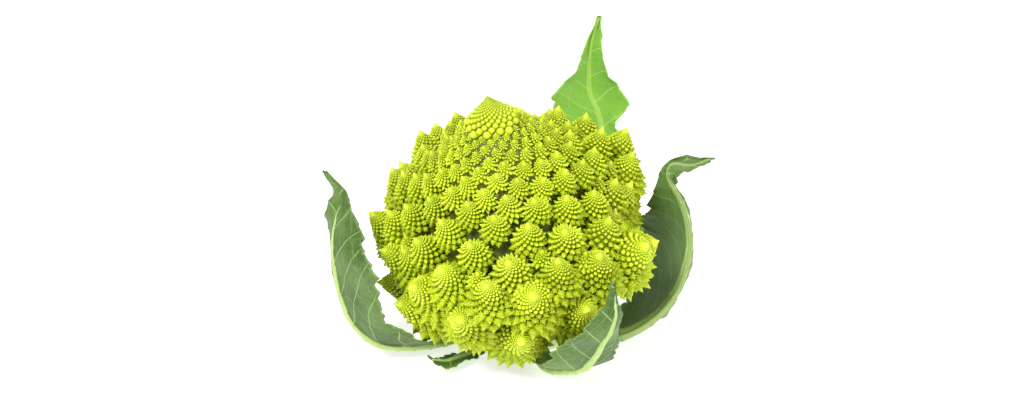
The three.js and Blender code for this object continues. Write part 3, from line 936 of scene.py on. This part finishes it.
crown_bead = turned_bead(ROUND_BEAD, CROWN_BEAD_SIDES)
beads = np.arange(FIRST_NUMBER, florets_from)
beads = beads[spacing_at(cell_middles(beads)[0]) > CROWN_BEADS_FROM]
bead_arc, bead_angle = cell_middles(beads)
bead_width = CROWN_BEAD_WIDTH * spacing_at(bead_arc) * (1 + WIDTH_VARIATION * vary(beads, 1))
bead_tip = on_outline(bead_arc, bead_angle, CROWN_BEAD_LIFT * bead_width)
bead_axes = unit(growing_axes(bead_arc, bead_angle, CROWN_UPTURN))
crown_skin.add_copies(crown_bead, frames_along(bead_axes, beads), bead_tip, bead_width)
crown_arcs = np.linalg.norm(crown_skin.points - (0, 0, HEAD_HEIGHT), axis=1)
even = np.full(len(crown_skin.points), CROWN_TONE)
crown_marks = {"bud": crown_skin.bud, "rim": even, "tone": even, "arc": crown_arcs}
crown = make_piece("curd_crown", leaned(crown_skin.points), crown_skin.faces, crown_marks, curd_finish)
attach(crown, "root")
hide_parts("curd")

# %% [markdown]
# # The branches under the florets
# Between the florets the eye looks down on the branches they stand on. The branches part so deep
# inside that a single body shows the same: a surface under the florets, which closes in towards
# the stalk. It follows the same lattice, so it stays under every valley.

# %% Core of the curd
CORE_FROM_ARC = 14
CORE_SHALLOW = 0.5
CORE_DEEP = 0.9
CORE_DEEPENS = (20, 60)
CORE_RELIEF = 0.06
CORE_RINGS = ((0.6, 0.6),)
CORE_TIP_HEIGHT = 132
CORE_NECKS = [(24, 30), (17.5, 38), (16.5, 41)]
CORE_BUD_SHARE = 0.3
CORE_SHADE_TONE = -1.7
NECK_BUD = 0.6
NECK_TONE = 0.4
DEEP_RIM = 1.2
DEEP_ARC = 60


def under_florets(number, angle, lift):
    """Points over a surface that lies deeper under the outline from the crown down."""
    arc = arc_of(number)
    start, end = CORE_DEEPENS
    share = np.clip((arc - start) / (end - start), 0, 1)
    depth = CORE_SHALLOW + (CORE_DEEP - CORE_SHALLOW) * share * share * (3 - 2 * share)
    return on_outline(arc, angle + FIRST_ANGLE, (lift - depth) * spacing_at(arc))


core_first = int(np.interp(CORE_FROM_ARC, arc_grid, number_grid))
core_skin = Skin()
core_top, core_base = grow_buds(
    core_skin, under_florets, core_first, LAST_NUMBER - core_first, head_spirals, 0, CORE_RELIEF, CORE_RINGS
)
core_skin.fan(core_skin.add_middle(CORE_TIP_HEIGHT, 0), core_top)
core_skin.close_below(core_base, CORE_NECKS)
core_skin.tidy()
in_neck = core_skin.bud < 0
# Painted shade: low bud marks, a low tone and a deep rim mark paint the body between the florets dark.
core_marks = {
    "bud": np.where(in_neck, NECK_BUD, core_skin.bud * CORE_BUD_SHARE),
    "rim": np.full(len(in_neck), DEEP_RIM),
    "tone": np.where(in_neck, NECK_TONE, CORE_SHADE_TONE),
    "arc": np.full(len(in_neck), DEEP_ARC),
}
core = make_piece("curd_core", leaned(core_skin.points), core_skin.faces, core_marks, curd_finish)
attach(core, "root")
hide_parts("curd")

# %% [markdown]
# # All the florets
# The spacing in a cell says which kind of floret grows there. The large ones carry most of the
# faces, so they go into three pieces. Lower down the head the corners between the cells have room
# for young side florets, which fill some of the gaps.

# %% Florets by size
SMALL_FROM = 9
MIDDLE_FROM = 14
LARGE_FROM = 25
LARGE_PIECES = 3
GAPS_FROM = 18
GAP_CHANCE = 0.6

numbers = np.arange(florets_from, LAST_NUMBER)
spacing = spacing_at(cell_middles(numbers)[0])
limits = (0, SMALL_FROM, MIDDLE_FROM, LARGE_FROM)
for kind, low, high in zip(("fine", "small", "middle"), limits, limits[1:]):
    group = numbers[(spacing >= low) & (spacing < high)]
    print(kind, "florets:", len(group))
    grow_florets("florets_" + kind, group, kind, curd_finish)
large = numbers[spacing >= LARGE_FROM]
print("large florets:", len(large))
for part, group in enumerate(np.array_split(large, LARGE_PIECES), start=1):
    grow_florets(f"florets_large_{part}", group, "large", curd_finish)

corners = numbers[(spacing_at(arc_of(numbers)) >= GAPS_FROM) & (vary(numbers, 9) < GAP_CHANCE - 0.5)]
print("florets in gaps:", len(corners))
grow_florets("florets_in_gaps", corners, "fine", curd_finish, in_gaps=True)

# %% [markdown]
# # Leaves
# A leaf of this plant has a thick midrib, a blade with wavy torn margins, and veins that stand
# out on the outer side. Three curves from the stalk to the tip hold its shape: the midrib and the
# two margins. The blade between them is bowed, so each half is a cupped strip. A mesh from a
# formula is right here, because the ribs and veins can then be raised from the blade itself.

# %% Curves of the leaves
LEAVES = {
    "leaf_left": {
        "young": False,
        "rib": [
            (-20, -9, 8.4), (-45, -25, 7.7), (-62, -30, 8.4), (-72, -32, 11), (-80, -33, 18), (-86, -33, 28),
            (-90, -31, 42), (-92, -27, 59), (-90, -23, 73), (-87, -20, 80), (-91, -16, 87), (-96, -12, 92),
        ],
        "first": [
            (-18, -14, 8.4), (-41, -33, 13), (-53, -42, 19), (-62, -48, 27), (-67, -52, 37), (-68, -56, 46),
            (-68, -59, 54), (-71, -54, 62), (-76, -43, 69), (-80, -32, 77), (-86, -22, 86), (-95, -13, 92),
        ],
        "second": [
            (-19, -3, 8.4), (-45, -19, 5), (-62, -21, 5), (-74, -22, 6.4), (-84, -21, 15), (-91, -18, 30),
            (-94, -13, 46), (-96, -11, 62), (-96, -11, 74), (-94, -11, 82), (-97, -10, 88), (-97, -11, 92),
        ],
        "bulges": (4, 2),
        "waves": (5, 5),
    },
    "leaf_right": {
        "young": False,
        "rib": [
            (20, -6, 8.4), (36, -20, 7.7), (48, -24, 11.8), (62, -22, 20), (73, -16, 32), (79, -8, 50),
            (78, -3, 62), (74, 2, 72), (68, 7, 82), (70, 8, 88), (79, 6, 88), (88, 4, 92),
        ],
        "first": [
            (21, 0, 8.4), (37, -4, 5), (47, 20, 7.7), (54, 40, 12), (56, 50, 24), (55, 46, 38),
            (56, 34, 50), (59, 22, 60), (62, 15, 72), (65, 15, 82), (76, 12, 92), (87, 5, 92),
        ],
        "second": [
            (19, -12, 8.4), (38, -12, 4), (52, -12, 7.7), (66, -9, 14), (77, -3, 26), (81, 4, 44),
            (81, 6, 56), (78, 7, 66), (73, 10, 76), (73, 5, 82), (81, 3, 86), (88, 3, 90),
        ],
        "bulges": (7, 2),
        "waves": (4, 5),
    },
    "leaf_front": {
        "young": False,
        "rib": [
            (3, -20, 6), (9, -45, 5), (18, -56, 8.4), (26, -65, 14), (31, -73, 24), (34, -80, 34),
            (37, -85, 42), (39, -87, 52), (38, -84, 66),
        ],
        "first": [
            (8, -20, 6), (18, -40, 4), (27, -45, 7), (36, -52, 11.8), (43, -60, 20), (42, -68, 30),
            (43, -76, 42), (41, -83, 54), (39, -83, 66),
        ],
        "second": [
            (-2, -20, 6), (1, -46, 8), (6, -63, 16), (13, -76, 30), (19, -83, 38), (25, -88, 46),
            (31, -89, 54), (35, -87, 60), (37, -85, 66),
        ],
        "bulges": (3, 3),
        "waves": (5, 3),
    },
    "leaf_back": {
        "young": True,
        "rib": [
            (7, 20, 7.7), (16, 48, 6), (28, 74, 16), (37, 84, 44), (40, 83, 74), (37, 80, 90),
            (33, 78, 100), (32, 74, 114), (32, 71, 122), (33, 67, 134), (36, 62, 146),
        ],
        "first": [
            (1, 21, 7.7), (8, 50, 5), (14, 76, 14), (17, 85, 44), (20, 82, 74), (13, 77, 88),
            (11, 74, 95), (21, 71, 110), (25, 70, 116), (28, 68, 128), (35, 62, 146),
        ],
        "second": [
            (13, 19, 7.7), (24, 46, 5), (42, 72, 14), (55, 80, 42), (56, 80, 70), (47, 78, 84),
            (54, 74, 95), (46, 71, 108), (42, 70, 113), (40, 66, 130), (37, 62, 146),
        ],
        "bulges": (3, 3),
        "waves": (3, 3),
    },
    "leaf_low": {
        "young": False,
        "rib": [(-15, -14, 5), (-30, -31, 3.5), (-39, -40, 4.5), (-45, -45, 7.7)],
        "first": [(-18, -11, 5), (-34, -29, 3), (-44, -36, 5.5), (-48, -42, 9.7)],
        "second": [(-12, -17, 5), (-27, -35, 3), (-35, -45, 4.5), (-43, -48, 7)],
        "bulges": (1, 1),
        "waves": (2, 2),
    },
}
CURVE_SAMPLES = 60


def leaf_curve(points, shares):
    """Points at shares of the length of the smooth curve through the given ones."""
    points = np.array(points, dtype=float)
    ends = np.concatenate(([2 * points[0] - points[1]], points, [2 * points[-1] - points[-2]]))
    share = np.linspace(0, 1, CURVE_SAMPLES, endpoint=False)[:, None]
    stretches = []
    for before, start, end, after in zip(ends, ends[1:], ends[2:], ends[3:]):
        gap_before, gap, gap_after = (
            math.sqrt(np.linalg.norm(b - a)) for a, b in ((before, start), (start, end), (end, after))
        )
        leave = (start - before) / gap_before - (end - before) / (gap_before + gap) + (end - start) / gap
        arrive = (end - start) / gap - (after - start) / (gap + gap_after) + (after - end) / gap_after
        leave, arrive = leave * gap, arrive * gap
        square = 3 * (end - start) - 2 * leave - arrive
        cubic = 2 * (start - end) + leave + arrive
        stretches.append(start + leave * share + square * share**2 + cubic * share**3)
    path = np.concatenate((*stretches, points[-1:]))
    walked = np.concatenate(([0], np.cumsum(np.linalg.norm(np.diff(path, axis=0), axis=1))))
    wanted = np.asarray(shares) * walked[-1]
    return np.stack([np.interp(wanted, walked, path[:, axis]) for axis in range(3)], axis=-1)


# %% [markdown]
# # The blade and its relief
# The rows of a leaf run from the stalk to the tip and the columns from one margin to the other,
# closer together at the midrib, where the shape changes fastest. The midrib is a round band, the
# side veins are low ridges that rise towards the tip, and the margins are notched like a saw and
# ruffled. Distances along and across the leaf go to the material in millimetres, so that the veins
# it draws lie on the ridges.

# %% Leaf surface
LEAF_ROWS = 130
HALF_COLUMNS = 15
BLADE = 0.8
MARGIN_BLADE = 0.45
RIB_HEIGHT = (3.2, 0.5)
RIB_HALF_WIDTH = (3.4, 0.7)
VEIN_SPACING = 16
VEIN_RISE = 0.8
VEIN_HEIGHT = 0.45
VEIN_HALF_WIDTH = 0.8
INNER_VEINS = 0.3
COLUMN_POWER = 1.4
RUFFLE = 1.2
FINE_RUFFLE = 0.35
FINE_WAVES = 4.3
RUFFLE_GROWTH = 4
NOTCH = 0.2
FINE_NOTCH = 0.35
TEETH = 7
FINE_TEETH = 19
COARSE_SHIFT = 0.13
FINE_SHIFT = 0.29


def half_blade(rib, margin, bulge, across):
    """Rows and columns of points on one half of the blade, bowed away from the stalk's axis."""
    chord = rib + margin
    middle = chord / 2 + unit(chord * (1, 1, 0)) * bulge
    share = np.abs(across)[None, :, None]
    start, bend, end = rib[:, None], middle[:, None], margin[:, None]
    return (1 - share) ** 2 * start + 2 * share * (1 - share) * bend + share**2 * end


def notches(along, seed):
    """Depth of the notches in a margin, as a share of the blade's half width."""
    coarse = (along * TEETH + COARSE_SHIFT * seed) % 1
    fine = (along * FINE_TEETH + FINE_SHIFT * seed) % 1
    return NOTCH * ((1 - FINE_NOTCH) * coarse**1.5 + FINE_NOTCH * fine)


def whole_blade(name, leaf, along, across):
    """Rows and columns of points in the middle of a leaf's thickness."""
    rib = leaf_curve(leaf["rib"], along)
    sides = (("first", across[across < 0], -2.0), ("second", across[across >= 0], 2.0))
    halves = []
    for (margin_name, columns, shift), bulge in zip(sides, leaf["bulges"]):
        margin = leaf_curve(leaf[margin_name], along)
        margin = margin + (rib - margin) * notches(along, shift + len(name))[:, None]
        halves.append(half_blade(rib, margin, bulge, columns))
    return np.concatenate(halves, axis=1)


def distances(blade, along):
    """How far every point of a blade lies up the midrib, and out from it."""
    length = np.linalg.norm(np.diff(blade[:, HALF_COLUMNS], axis=0), axis=1).sum()
    steps = np.linalg.norm(np.diff(blade, axis=1), axis=2)
    walked = np.concatenate((np.zeros((LEAF_ROWS, 1)), np.cumsum(steps, axis=1)), axis=1)
    out = walked - walked[:, HALF_COLUMNS:HALF_COLUMNS + 1]
    return np.broadcast_to((along * length)[:, None], out.shape), out


def ruffles(leaf, along, across):
    """Waves of the margins, which fade towards the midrib and the stalk."""
    turns = 2 * math.pi * np.where(across < 0, *leaf["waves"])[None, :] * along[:, None]
    broad = RUFFLE * across**2 * np.sin(turns)
    fine = FINE_RUFFLE * np.abs(across) ** 3 * np.sin(FINE_WAVES * turns + 1)
    return (broad + fine) * np.minimum(1, RUFFLE_GROWTH * along)[:, None]


def rib_and_veins(up, out, along, across):
    """Heights of the midrib and of the side veins over the blade."""
    rib_half, rib_height = (
        foot + (tip - foot) * along[:, None] for foot, tip in (RIB_HALF_WIDTH, RIB_HEIGHT)
    )
    rib = rib_height * np.sqrt(np.clip(1 - (out / rib_half) ** 2, 0, None))
    phase = (up - VEIN_RISE * np.abs(out)) / VEIN_SPACING + np.where(out < 0, 0.5, 0.0)
    from_vein = np.abs(phase - np.round(phase)) * VEIN_SPACING
    veins = VEIN_HEIGHT * np.exp(-((from_vein / VEIN_HALF_WIDTH) ** 2)) * (1 - np.abs(across))
    return rib, veins


def sheet_faces(rows, columns):
    """Faces of a closed sheet: its two sides, and the strips round its edge."""
    front = np.arange(rows * columns).reshape(rows, columns)
    back = front + rows * columns
    strips = [
        (front[:-1, :-1], front[1:, :-1], front[1:, 1:], front[:-1, 1:]),
        (back[:-1, :-1], back[:-1, 1:], back[1:, 1:], back[1:, :-1]),
        (front[:-1, 0], back[:-1, 0], back[1:, 0], front[1:, 0]),
        (front[:-1, -1], front[1:, -1], back[1:, -1], back[:-1, -1]),
        (front[0, :-1], front[0, 1:], back[0, 1:], back[0, :-1]),
        (front[-1, :-1], back[-1, :-1], back[-1, 1:], front[-1, 1:]),
    ]
    return np.concatenate([np.stack([corner.ravel() for corner in strip], axis=1) for strip in strips])


def make_leaf(name, leaf, finish):
    """A leaf in place of its CAD node, kept within that node's box."""
    along = np.linspace(0, 1, LEAF_ROWS)
    line = np.linspace(-1, 1, 2 * HALF_COLUMNS + 1)
    across = np.sign(line) * np.abs(line) ** COLUMN_POWER
    blade = whole_blade(name, leaf, along, across)
    up, out = distances(blade, along)
    normal = unit(np.cross(np.gradient(blade, axis=0), np.gradient(blade, axis=1)))
    wave = ruffles(leaf, along, across)
    rib, veins = rib_and_veins(up, out, along, across)
    half_thick = (BLADE + (MARGIN_BLADE - BLADE) * across**4) / 2
    outer = blade + normal * (half_thick + wave + rib + veins)[..., None]
    inner = blade + normal * (-half_thick + wave + INNER_VEINS * veins)[..., None]
    box_low, box_high = (np.array(corner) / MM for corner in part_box(name))
    points = np.clip(np.concatenate((outer.reshape(-1, 3), inner.reshape(-1, 3))), box_low, box_high)
    marks = {"up": up, "out": out, "across": across, "along": along[:, None]}
    for mark, values in marks.items():
        marks[mark] = np.tile(np.broadcast_to(values, out.shape).ravel(), 2)
    marks["outer"] = np.repeat((1.0, 0.0), out.size)
    piece = make_piece(name + "_blade", points, sheet_faces(*out.shape), marks, finish)
    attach(piece, "root")
    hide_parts(name)
    return piece


# %% [markdown]
# # The finish of the leaves
# An older leaf is a dull green with clouds of pale bloom, and its veins are pale. A young leaf lets
# light through, so it is brighter and yellower. Both are one graph with other colours: three
# orders of veins, drawn from the distances along and across the blade, and the bloom, which also
# covers the inner side.

# %% Leaf finishes
VEIN_WOBBLE = 0.5
BRANCH_SPACING = 8
BRANCH_RISE = 0.35
BRANCH_WOBBLE = 2.2
NET_SIZE = 3.5
MAIN_VEIN_EDGES = (0.1, 0.6)
BRANCH_EDGES = (0.05, 0.42)
NET_EDGES = (0.0, 0.11)
RIB_EDGES = (0.75, 1.15)
MAIN_VEIN_SHARE = 0.7
BRANCH_SHARE = 0.2
NET_SHARE = 0.1
MARGIN_SHARE = 0.35
INNER_RIB_SHARE = 0.45
INNER_BLOOM = 0.5


def leaf_finish(name, deep, blade, light, bloom, vein, rib, bloom_share, roughness, glow):
    """The finish of a leaf. Three greens make its clouds, and glow is the light that it scatters."""
    leaf = Finish(name)
    up, out, across, along = (leaf.mark(mark) for mark in ("up", "out", "across", "along"))
    outer = leaf.mark("outer")
    cloud = leaf.noise(22)
    speckle = leaf.noise(2.2, detail=4.0)
    aside = leaf.math("ABSOLUTE", out)
    to_margin = leaf.math("ABSOLUTE", across)
    shift = leaf.math("LESS_THAN", out, 0.0) * 0.5
    bend = (leaf.noise(14, detail=1.0) - 0.5) * VEIN_WOBBLE
    phase = (up - aside * VEIN_RISE) / VEIN_SPACING + shift + bend * leaf.step(aside, 1.0, 9.0)
    from_vein = leaf.math("PINGPONG", phase, 0.5) * VEIN_SPACING
    main_vein = 1 - leaf.step(from_vein, *MAIN_VEIN_EDGES)
    branch_phase = (aside + up * BRANCH_RISE) / BRANCH_SPACING + bend * BRANCH_WOBBLE
    from_branch = leaf.math("PINGPONG", branch_phase, 0.5) * BRANCH_SPACING
    branch = (1 - leaf.step(from_branch, *BRANCH_EDGES)) * leaf.step(aside, 2.0, 6.0)
    place = leaf.node("TexCoord", output="Object")
    net_inputs = {"Vector": place, "Scale": 1 / (NET_SIZE * MM)}
    net = leaf.node("TexVoronoi", {"feature": "DISTANCE_TO_EDGE"}, net_inputs)
    fine = 1 - leaf.step(net, *NET_EDGES)
    edge_fade = 1 - leaf.step(to_margin, 0.8, 1.0) * 0.6
    rib_half = RIB_HALF_WIDTH[0] + along * (RIB_HALF_WIDTH[1] - RIB_HALF_WIDTH[0])
    in_rib = 1 - leaf.step(aside / rib_half, *RIB_EDGES)

    tone = leaf.ramp(cloud * 0.7 + speckle * 0.3, [(0.3, deep), (0.52, blade), (0.74, light)])
    tone = leaf.mix(leaf.step(leaf.noise(12), 0.42, 0.75) * bloom_share, tone, bloom)
    tone = leaf.mix((1 - outer) * INNER_BLOOM, tone, bloom)
    tone = leaf.mix(fine * NET_SHARE, tone, vein)
    tone = leaf.mix(branch * BRANCH_SHARE * edge_fade, tone, vein)
    tone = leaf.mix(main_vein * MAIN_VEIN_SHARE * edge_fade, tone, vein)
    tone = leaf.mix(leaf.step(to_margin, 0.93, 1.0) * MARGIN_SHARE, tone, vein)
    streak = leaf.noise(3, detail=4.0, stretch=(1.0, 1.0, 0.12))
    rib_tone = leaf.mix(streak * 0.5, rib, vein)
    tone = leaf.mix(in_rib * (INNER_RIB_SHARE + outer * (1 - INNER_RIB_SHARE)), tone, rib_tone)
    height = fine * -0.25 + branch * 0.4 + main_vein * 0.5 + speckle * 0.3
    return leaf.surface(
        base_color=tone,
        roughness=roughness + (speckle - 0.5) * 0.2,
        specular_ior_level=0.3,
        normal=leaf.bump(height, 0.35, strength=0.5),
        subsurface_weight=glow,
        subsurface_radius=(0.6, 1.0, 0.25),
        subsurface_scale=1.2 * MM,
    )


older_leaf = leaf_finish(
    "leaf_finish", deep=shade(48, 74, 20), blade=shade(70, 98, 36), light=shade(90, 118, 50),
    bloom=shade(108, 138, 76), vein=shade(146, 174, 104), rib=shade(168, 190, 112),
    bloom_share=0.3, roughness=0.52, glow=0.05,
)
young_leaf = leaf_finish(
    "young_leaf_finish", deep=shade(84, 146, 20), blade=shade(116, 172, 48), light=shade(134, 190, 72),
    bloom=shade(142, 194, 82), vein=shade(178, 218, 112), rib=shade(196, 226, 112),
    bloom_share=0.5, roughness=0.45, glow=0.15,
)
for leaf_name, leaf_shape in LEAVES.items():
    make_leaf(leaf_name, leaf_shape, young_leaf if leaf_shape["young"] else older_leaf)

# %% [markdown]
# # The stalk
# The knife leaves a flat disc with a ring of fibres round a paler pith, and above it a short
# smooth stalk with the scars of the leaves that were pulled off. It is turned like a pot, from a
# profile, with the scars raised as crescents and shallow flutes between the fibres.

# %% Stalk
STALK_RADIUS = 22
STALK_HEIGHT = 30
STALK_PROFILE = [(22, 0), (23.2, 1.4), (24, 4), (23.8, 10), (23, 16), (21.6, 23), (20, 30)]
STALK_SIDES = 120
STALK_ROWS = 40
CUT_RINGS = 14
CUT_HOLLOW = 0.35
SCARS = ((0.6, 12, 13), (2.3, 17, 12), (4.1, 11, 14), (5.4, 19, 11))
SCAR_HEIGHT = 0.6
SCAR_DROOP = 2.2
SCAR_HALF_WIDTH = 1.1
FLUTE = 0.18
FLUTE_WAVES = ((23, 0, 0.6), (41, 1, 0.4))
FADE_LENGTH = 3
LARGEST_RADIUS = STALK_RADIUS + 2


def stalk_points():
    """Rings of points up the side of the stalk, with its flutes and leaf scars."""
    profile = smooth_curve(np.array(STALK_PROFILE, dtype=float), STALK_ROWS)
    angles = np.arange(STALK_SIDES) / STALK_SIDES * 2 * math.pi
    radius = np.repeat(profile[:, :1], STALK_SIDES, axis=1)
    height = np.repeat(profile[:, 1:], STALK_SIDES, axis=1)
    fade = np.clip(np.minimum(height, STALK_HEIGHT - height) / FADE_LENGTH, 0, 1)
    waves = [share * np.sin(angles * count + shift) for count, shift, share in FLUTE_WAVES]
    lift = FLUTE * sum(waves) * fade
    for scar_angle, scar_up, scar_width in SCARS:
        turn = (angles - scar_angle + math.pi) % (2 * math.pi) - math.pi
        across = turn * STALK_RADIUS / scar_width * 2
        bend = height - scar_up + SCAR_DROOP * across**2
        crescent = np.exp(-((bend / SCAR_HALF_WIDTH) ** 2)) * np.clip(1 - across**2, 0, 1)
        lift = lift + SCAR_HEIGHT * crescent * fade
    radius = np.minimum(radius - FLUTE - SCAR_HEIGHT + lift, LARGEST_RADIUS)
    return np.stack((radius * np.cos(angles), radius * np.sin(angles), height), axis=-1)


stalk_skin = Skin()
side = stalk_points()
rows = [stalk_skin.add(row, 1) for row in side[::-1]]
for upper, lower in zip(rows, rows[1:]):
    stalk_skin.band(upper, lower)
cut_ring = rows[-1]
for k in range(1, CUT_RINGS):
    share = 1 - k / CUT_RINGS
    ring = side[0] * (share, share, 1)
    ring[:, 2] = CUT_HOLLOW * (1 - share) ** 0.5
    inside = stalk_skin.add(ring, 0)
    stalk_skin.band(cut_ring, inside)
    cut_ring = inside
stalk_skin.fan(stalk_skin.add_middle(CUT_HOLLOW, 0), cut_ring[::-1])
stalk_skin.fan(stalk_skin.add_middle(STALK_HEIGHT, 1), rows[0])

# %% Stalk finish
RING_INSIDE = (14.5, 16.5)
RING_OUTSIDE = (17.5, 19.5)
RING_WOBBLE = 1.6

stalk = Finish("stalk_finish")
where = stalk.node("TexCoord", output="Object")
apart = stalk.node("SeparateXYZ", inputs={"Vector": where})
flat = stalk.node("VectorMath", {"operation": "MULTIPLY"}, {0: where, 1: (1.0, 1.0, 0.0)})
from_axis = stalk.node("VectorMath", {"operation": "LENGTH"}, {0: flat}, output="Value") / MM
on_side = stalk.mark("bud")
wobbled = from_axis + (stalk.noise(4) - 0.5) * RING_WOBBLE
fibre_ring = stalk.step(wobbled, *RING_INSIDE) * (1 - stalk.step(wobbled, *RING_OUTSIDE))
fibres = stalk.noise(1.1, detail=4.0)
cut_tone = stalk.mix(fibre_ring * 0.6, shade(226, 228, 196), shade(176, 196, 122))
cut_tone = stalk.mix(stalk.step(fibres, 0.5, 0.7) * 0.35, cut_tone, shade(198, 190, 140))
long_fibres = stalk.noise(1.6, detail=4.0, stretch=(1.0, 1.0, 0.08))
side_tone = stalk.ramp(long_fibres, [(0.3, shade(168, 190, 118)), (0.7, shade(206, 218, 160))])
side_tone = stalk.mix(stalk.step(stalk.noise(16), 0.45, 0.7) * 0.4, side_tone, shade(150, 176, 92))
stalk_finish = stalk.surface(
    base_color=stalk.mix(on_side, cut_tone, side_tone),
    roughness=0.46 + (fibres - 0.5) * 0.25,
    normal=stalk.bump(long_fibres * on_side + fibres * (1 - on_side), 0.3, strength=0.5),
    subsurface_weight=0.1,
    subsurface_radius=(1.0, 0.9, 0.4),
    subsurface_scale=2 * MM,
)
stalk_marks = {"bud": stalk_skin.bud}
stalk_piece = make_piece("stalk_turned", stalk_skin.points, stalk_skin.faces, stalk_marks, stalk_finish)
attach(stalk_piece, "root")
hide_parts("stalk")

# %% [markdown]
# # Floor and light
# The head stands on white under a soft bright sky, as in a product photograph, so only a faint
# shadow shows round its foot. One large lamp to the left and in front gives the florets a light
# side and a shaded one, and a weaker one opposite keeps the shade open.

# %% Floor
FLOOR_SIZE = 6000
FLOOR_GLOW = 0.6
floor_half = FLOOR_SIZE / 2
floor_points = np.array([(-1, -1, 0), (1, -1, 0), (1, 1, 0), (-1, 1, 0)]) * floor_half
floor_look = Finish("floor_finish")
haze = floor_look.noise(60)
floor_finish = floor_look.surface(
    base_color=floor_look.mix(haze, (0.93, 0.93, 0.93, 1.0), (0.96, 0.96, 0.96, 1.0)),
    roughness=0.9,
    emission_color=(1.0, 1.0, 1.0, 1.0),
    emission_strength=FLOOR_GLOW,
)
floor = make_piece("floor", floor_points, np.array([(0, 1, 2, 3)]), {}, floor_finish)
floor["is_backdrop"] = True

# %% Light
SKY_STRENGTH = 0.42
KEY_WATTS = 15
FILL_WATTS = 5
LAMP_TARGET = Vector((0, 0, 60))


def soft_lamp(name, place, size, watts):
    """A square area lamp that faces the middle of the head."""
    data = bpy.data.lights.new(name, "AREA")
    data.size = size * MM
    data.energy = watts
    lamp = bpy.data.objects.new(name, data)
    lamp.location = Vector(place) * MM
    lamp.rotation_euler = (LAMP_TARGET - Vector(place)).to_track_quat("-Z", "Y").to_euler()
    bpy.context.scene.collection.objects.link(lamp)


world = bpy.data.worlds.new("studio")
world.use_nodes = True
background = world.node_tree.nodes["Background"]
background.inputs["Color"].default_value = (1.0, 1.0, 1.0, 1.0)
background.inputs["Strength"].default_value = SKY_STRENGTH
bpy.context.scene.world = world
bpy.context.scene.view_settings.view_transform = "Standard"
soft_lamp("key_lamp", (-450, -650, 900), 500, KEY_WATTS)
soft_lamp("fill_lamp", (800, -500, 500), 700, FILL_WATTS)

# %% [markdown]
# # Sizes
# The dressed head must stay within the imported one, so its box is printed.

# %% Sizes and the end
low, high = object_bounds()
print("visual box in mm:", [round(v / MM, 1) for v in (*low, *high)])
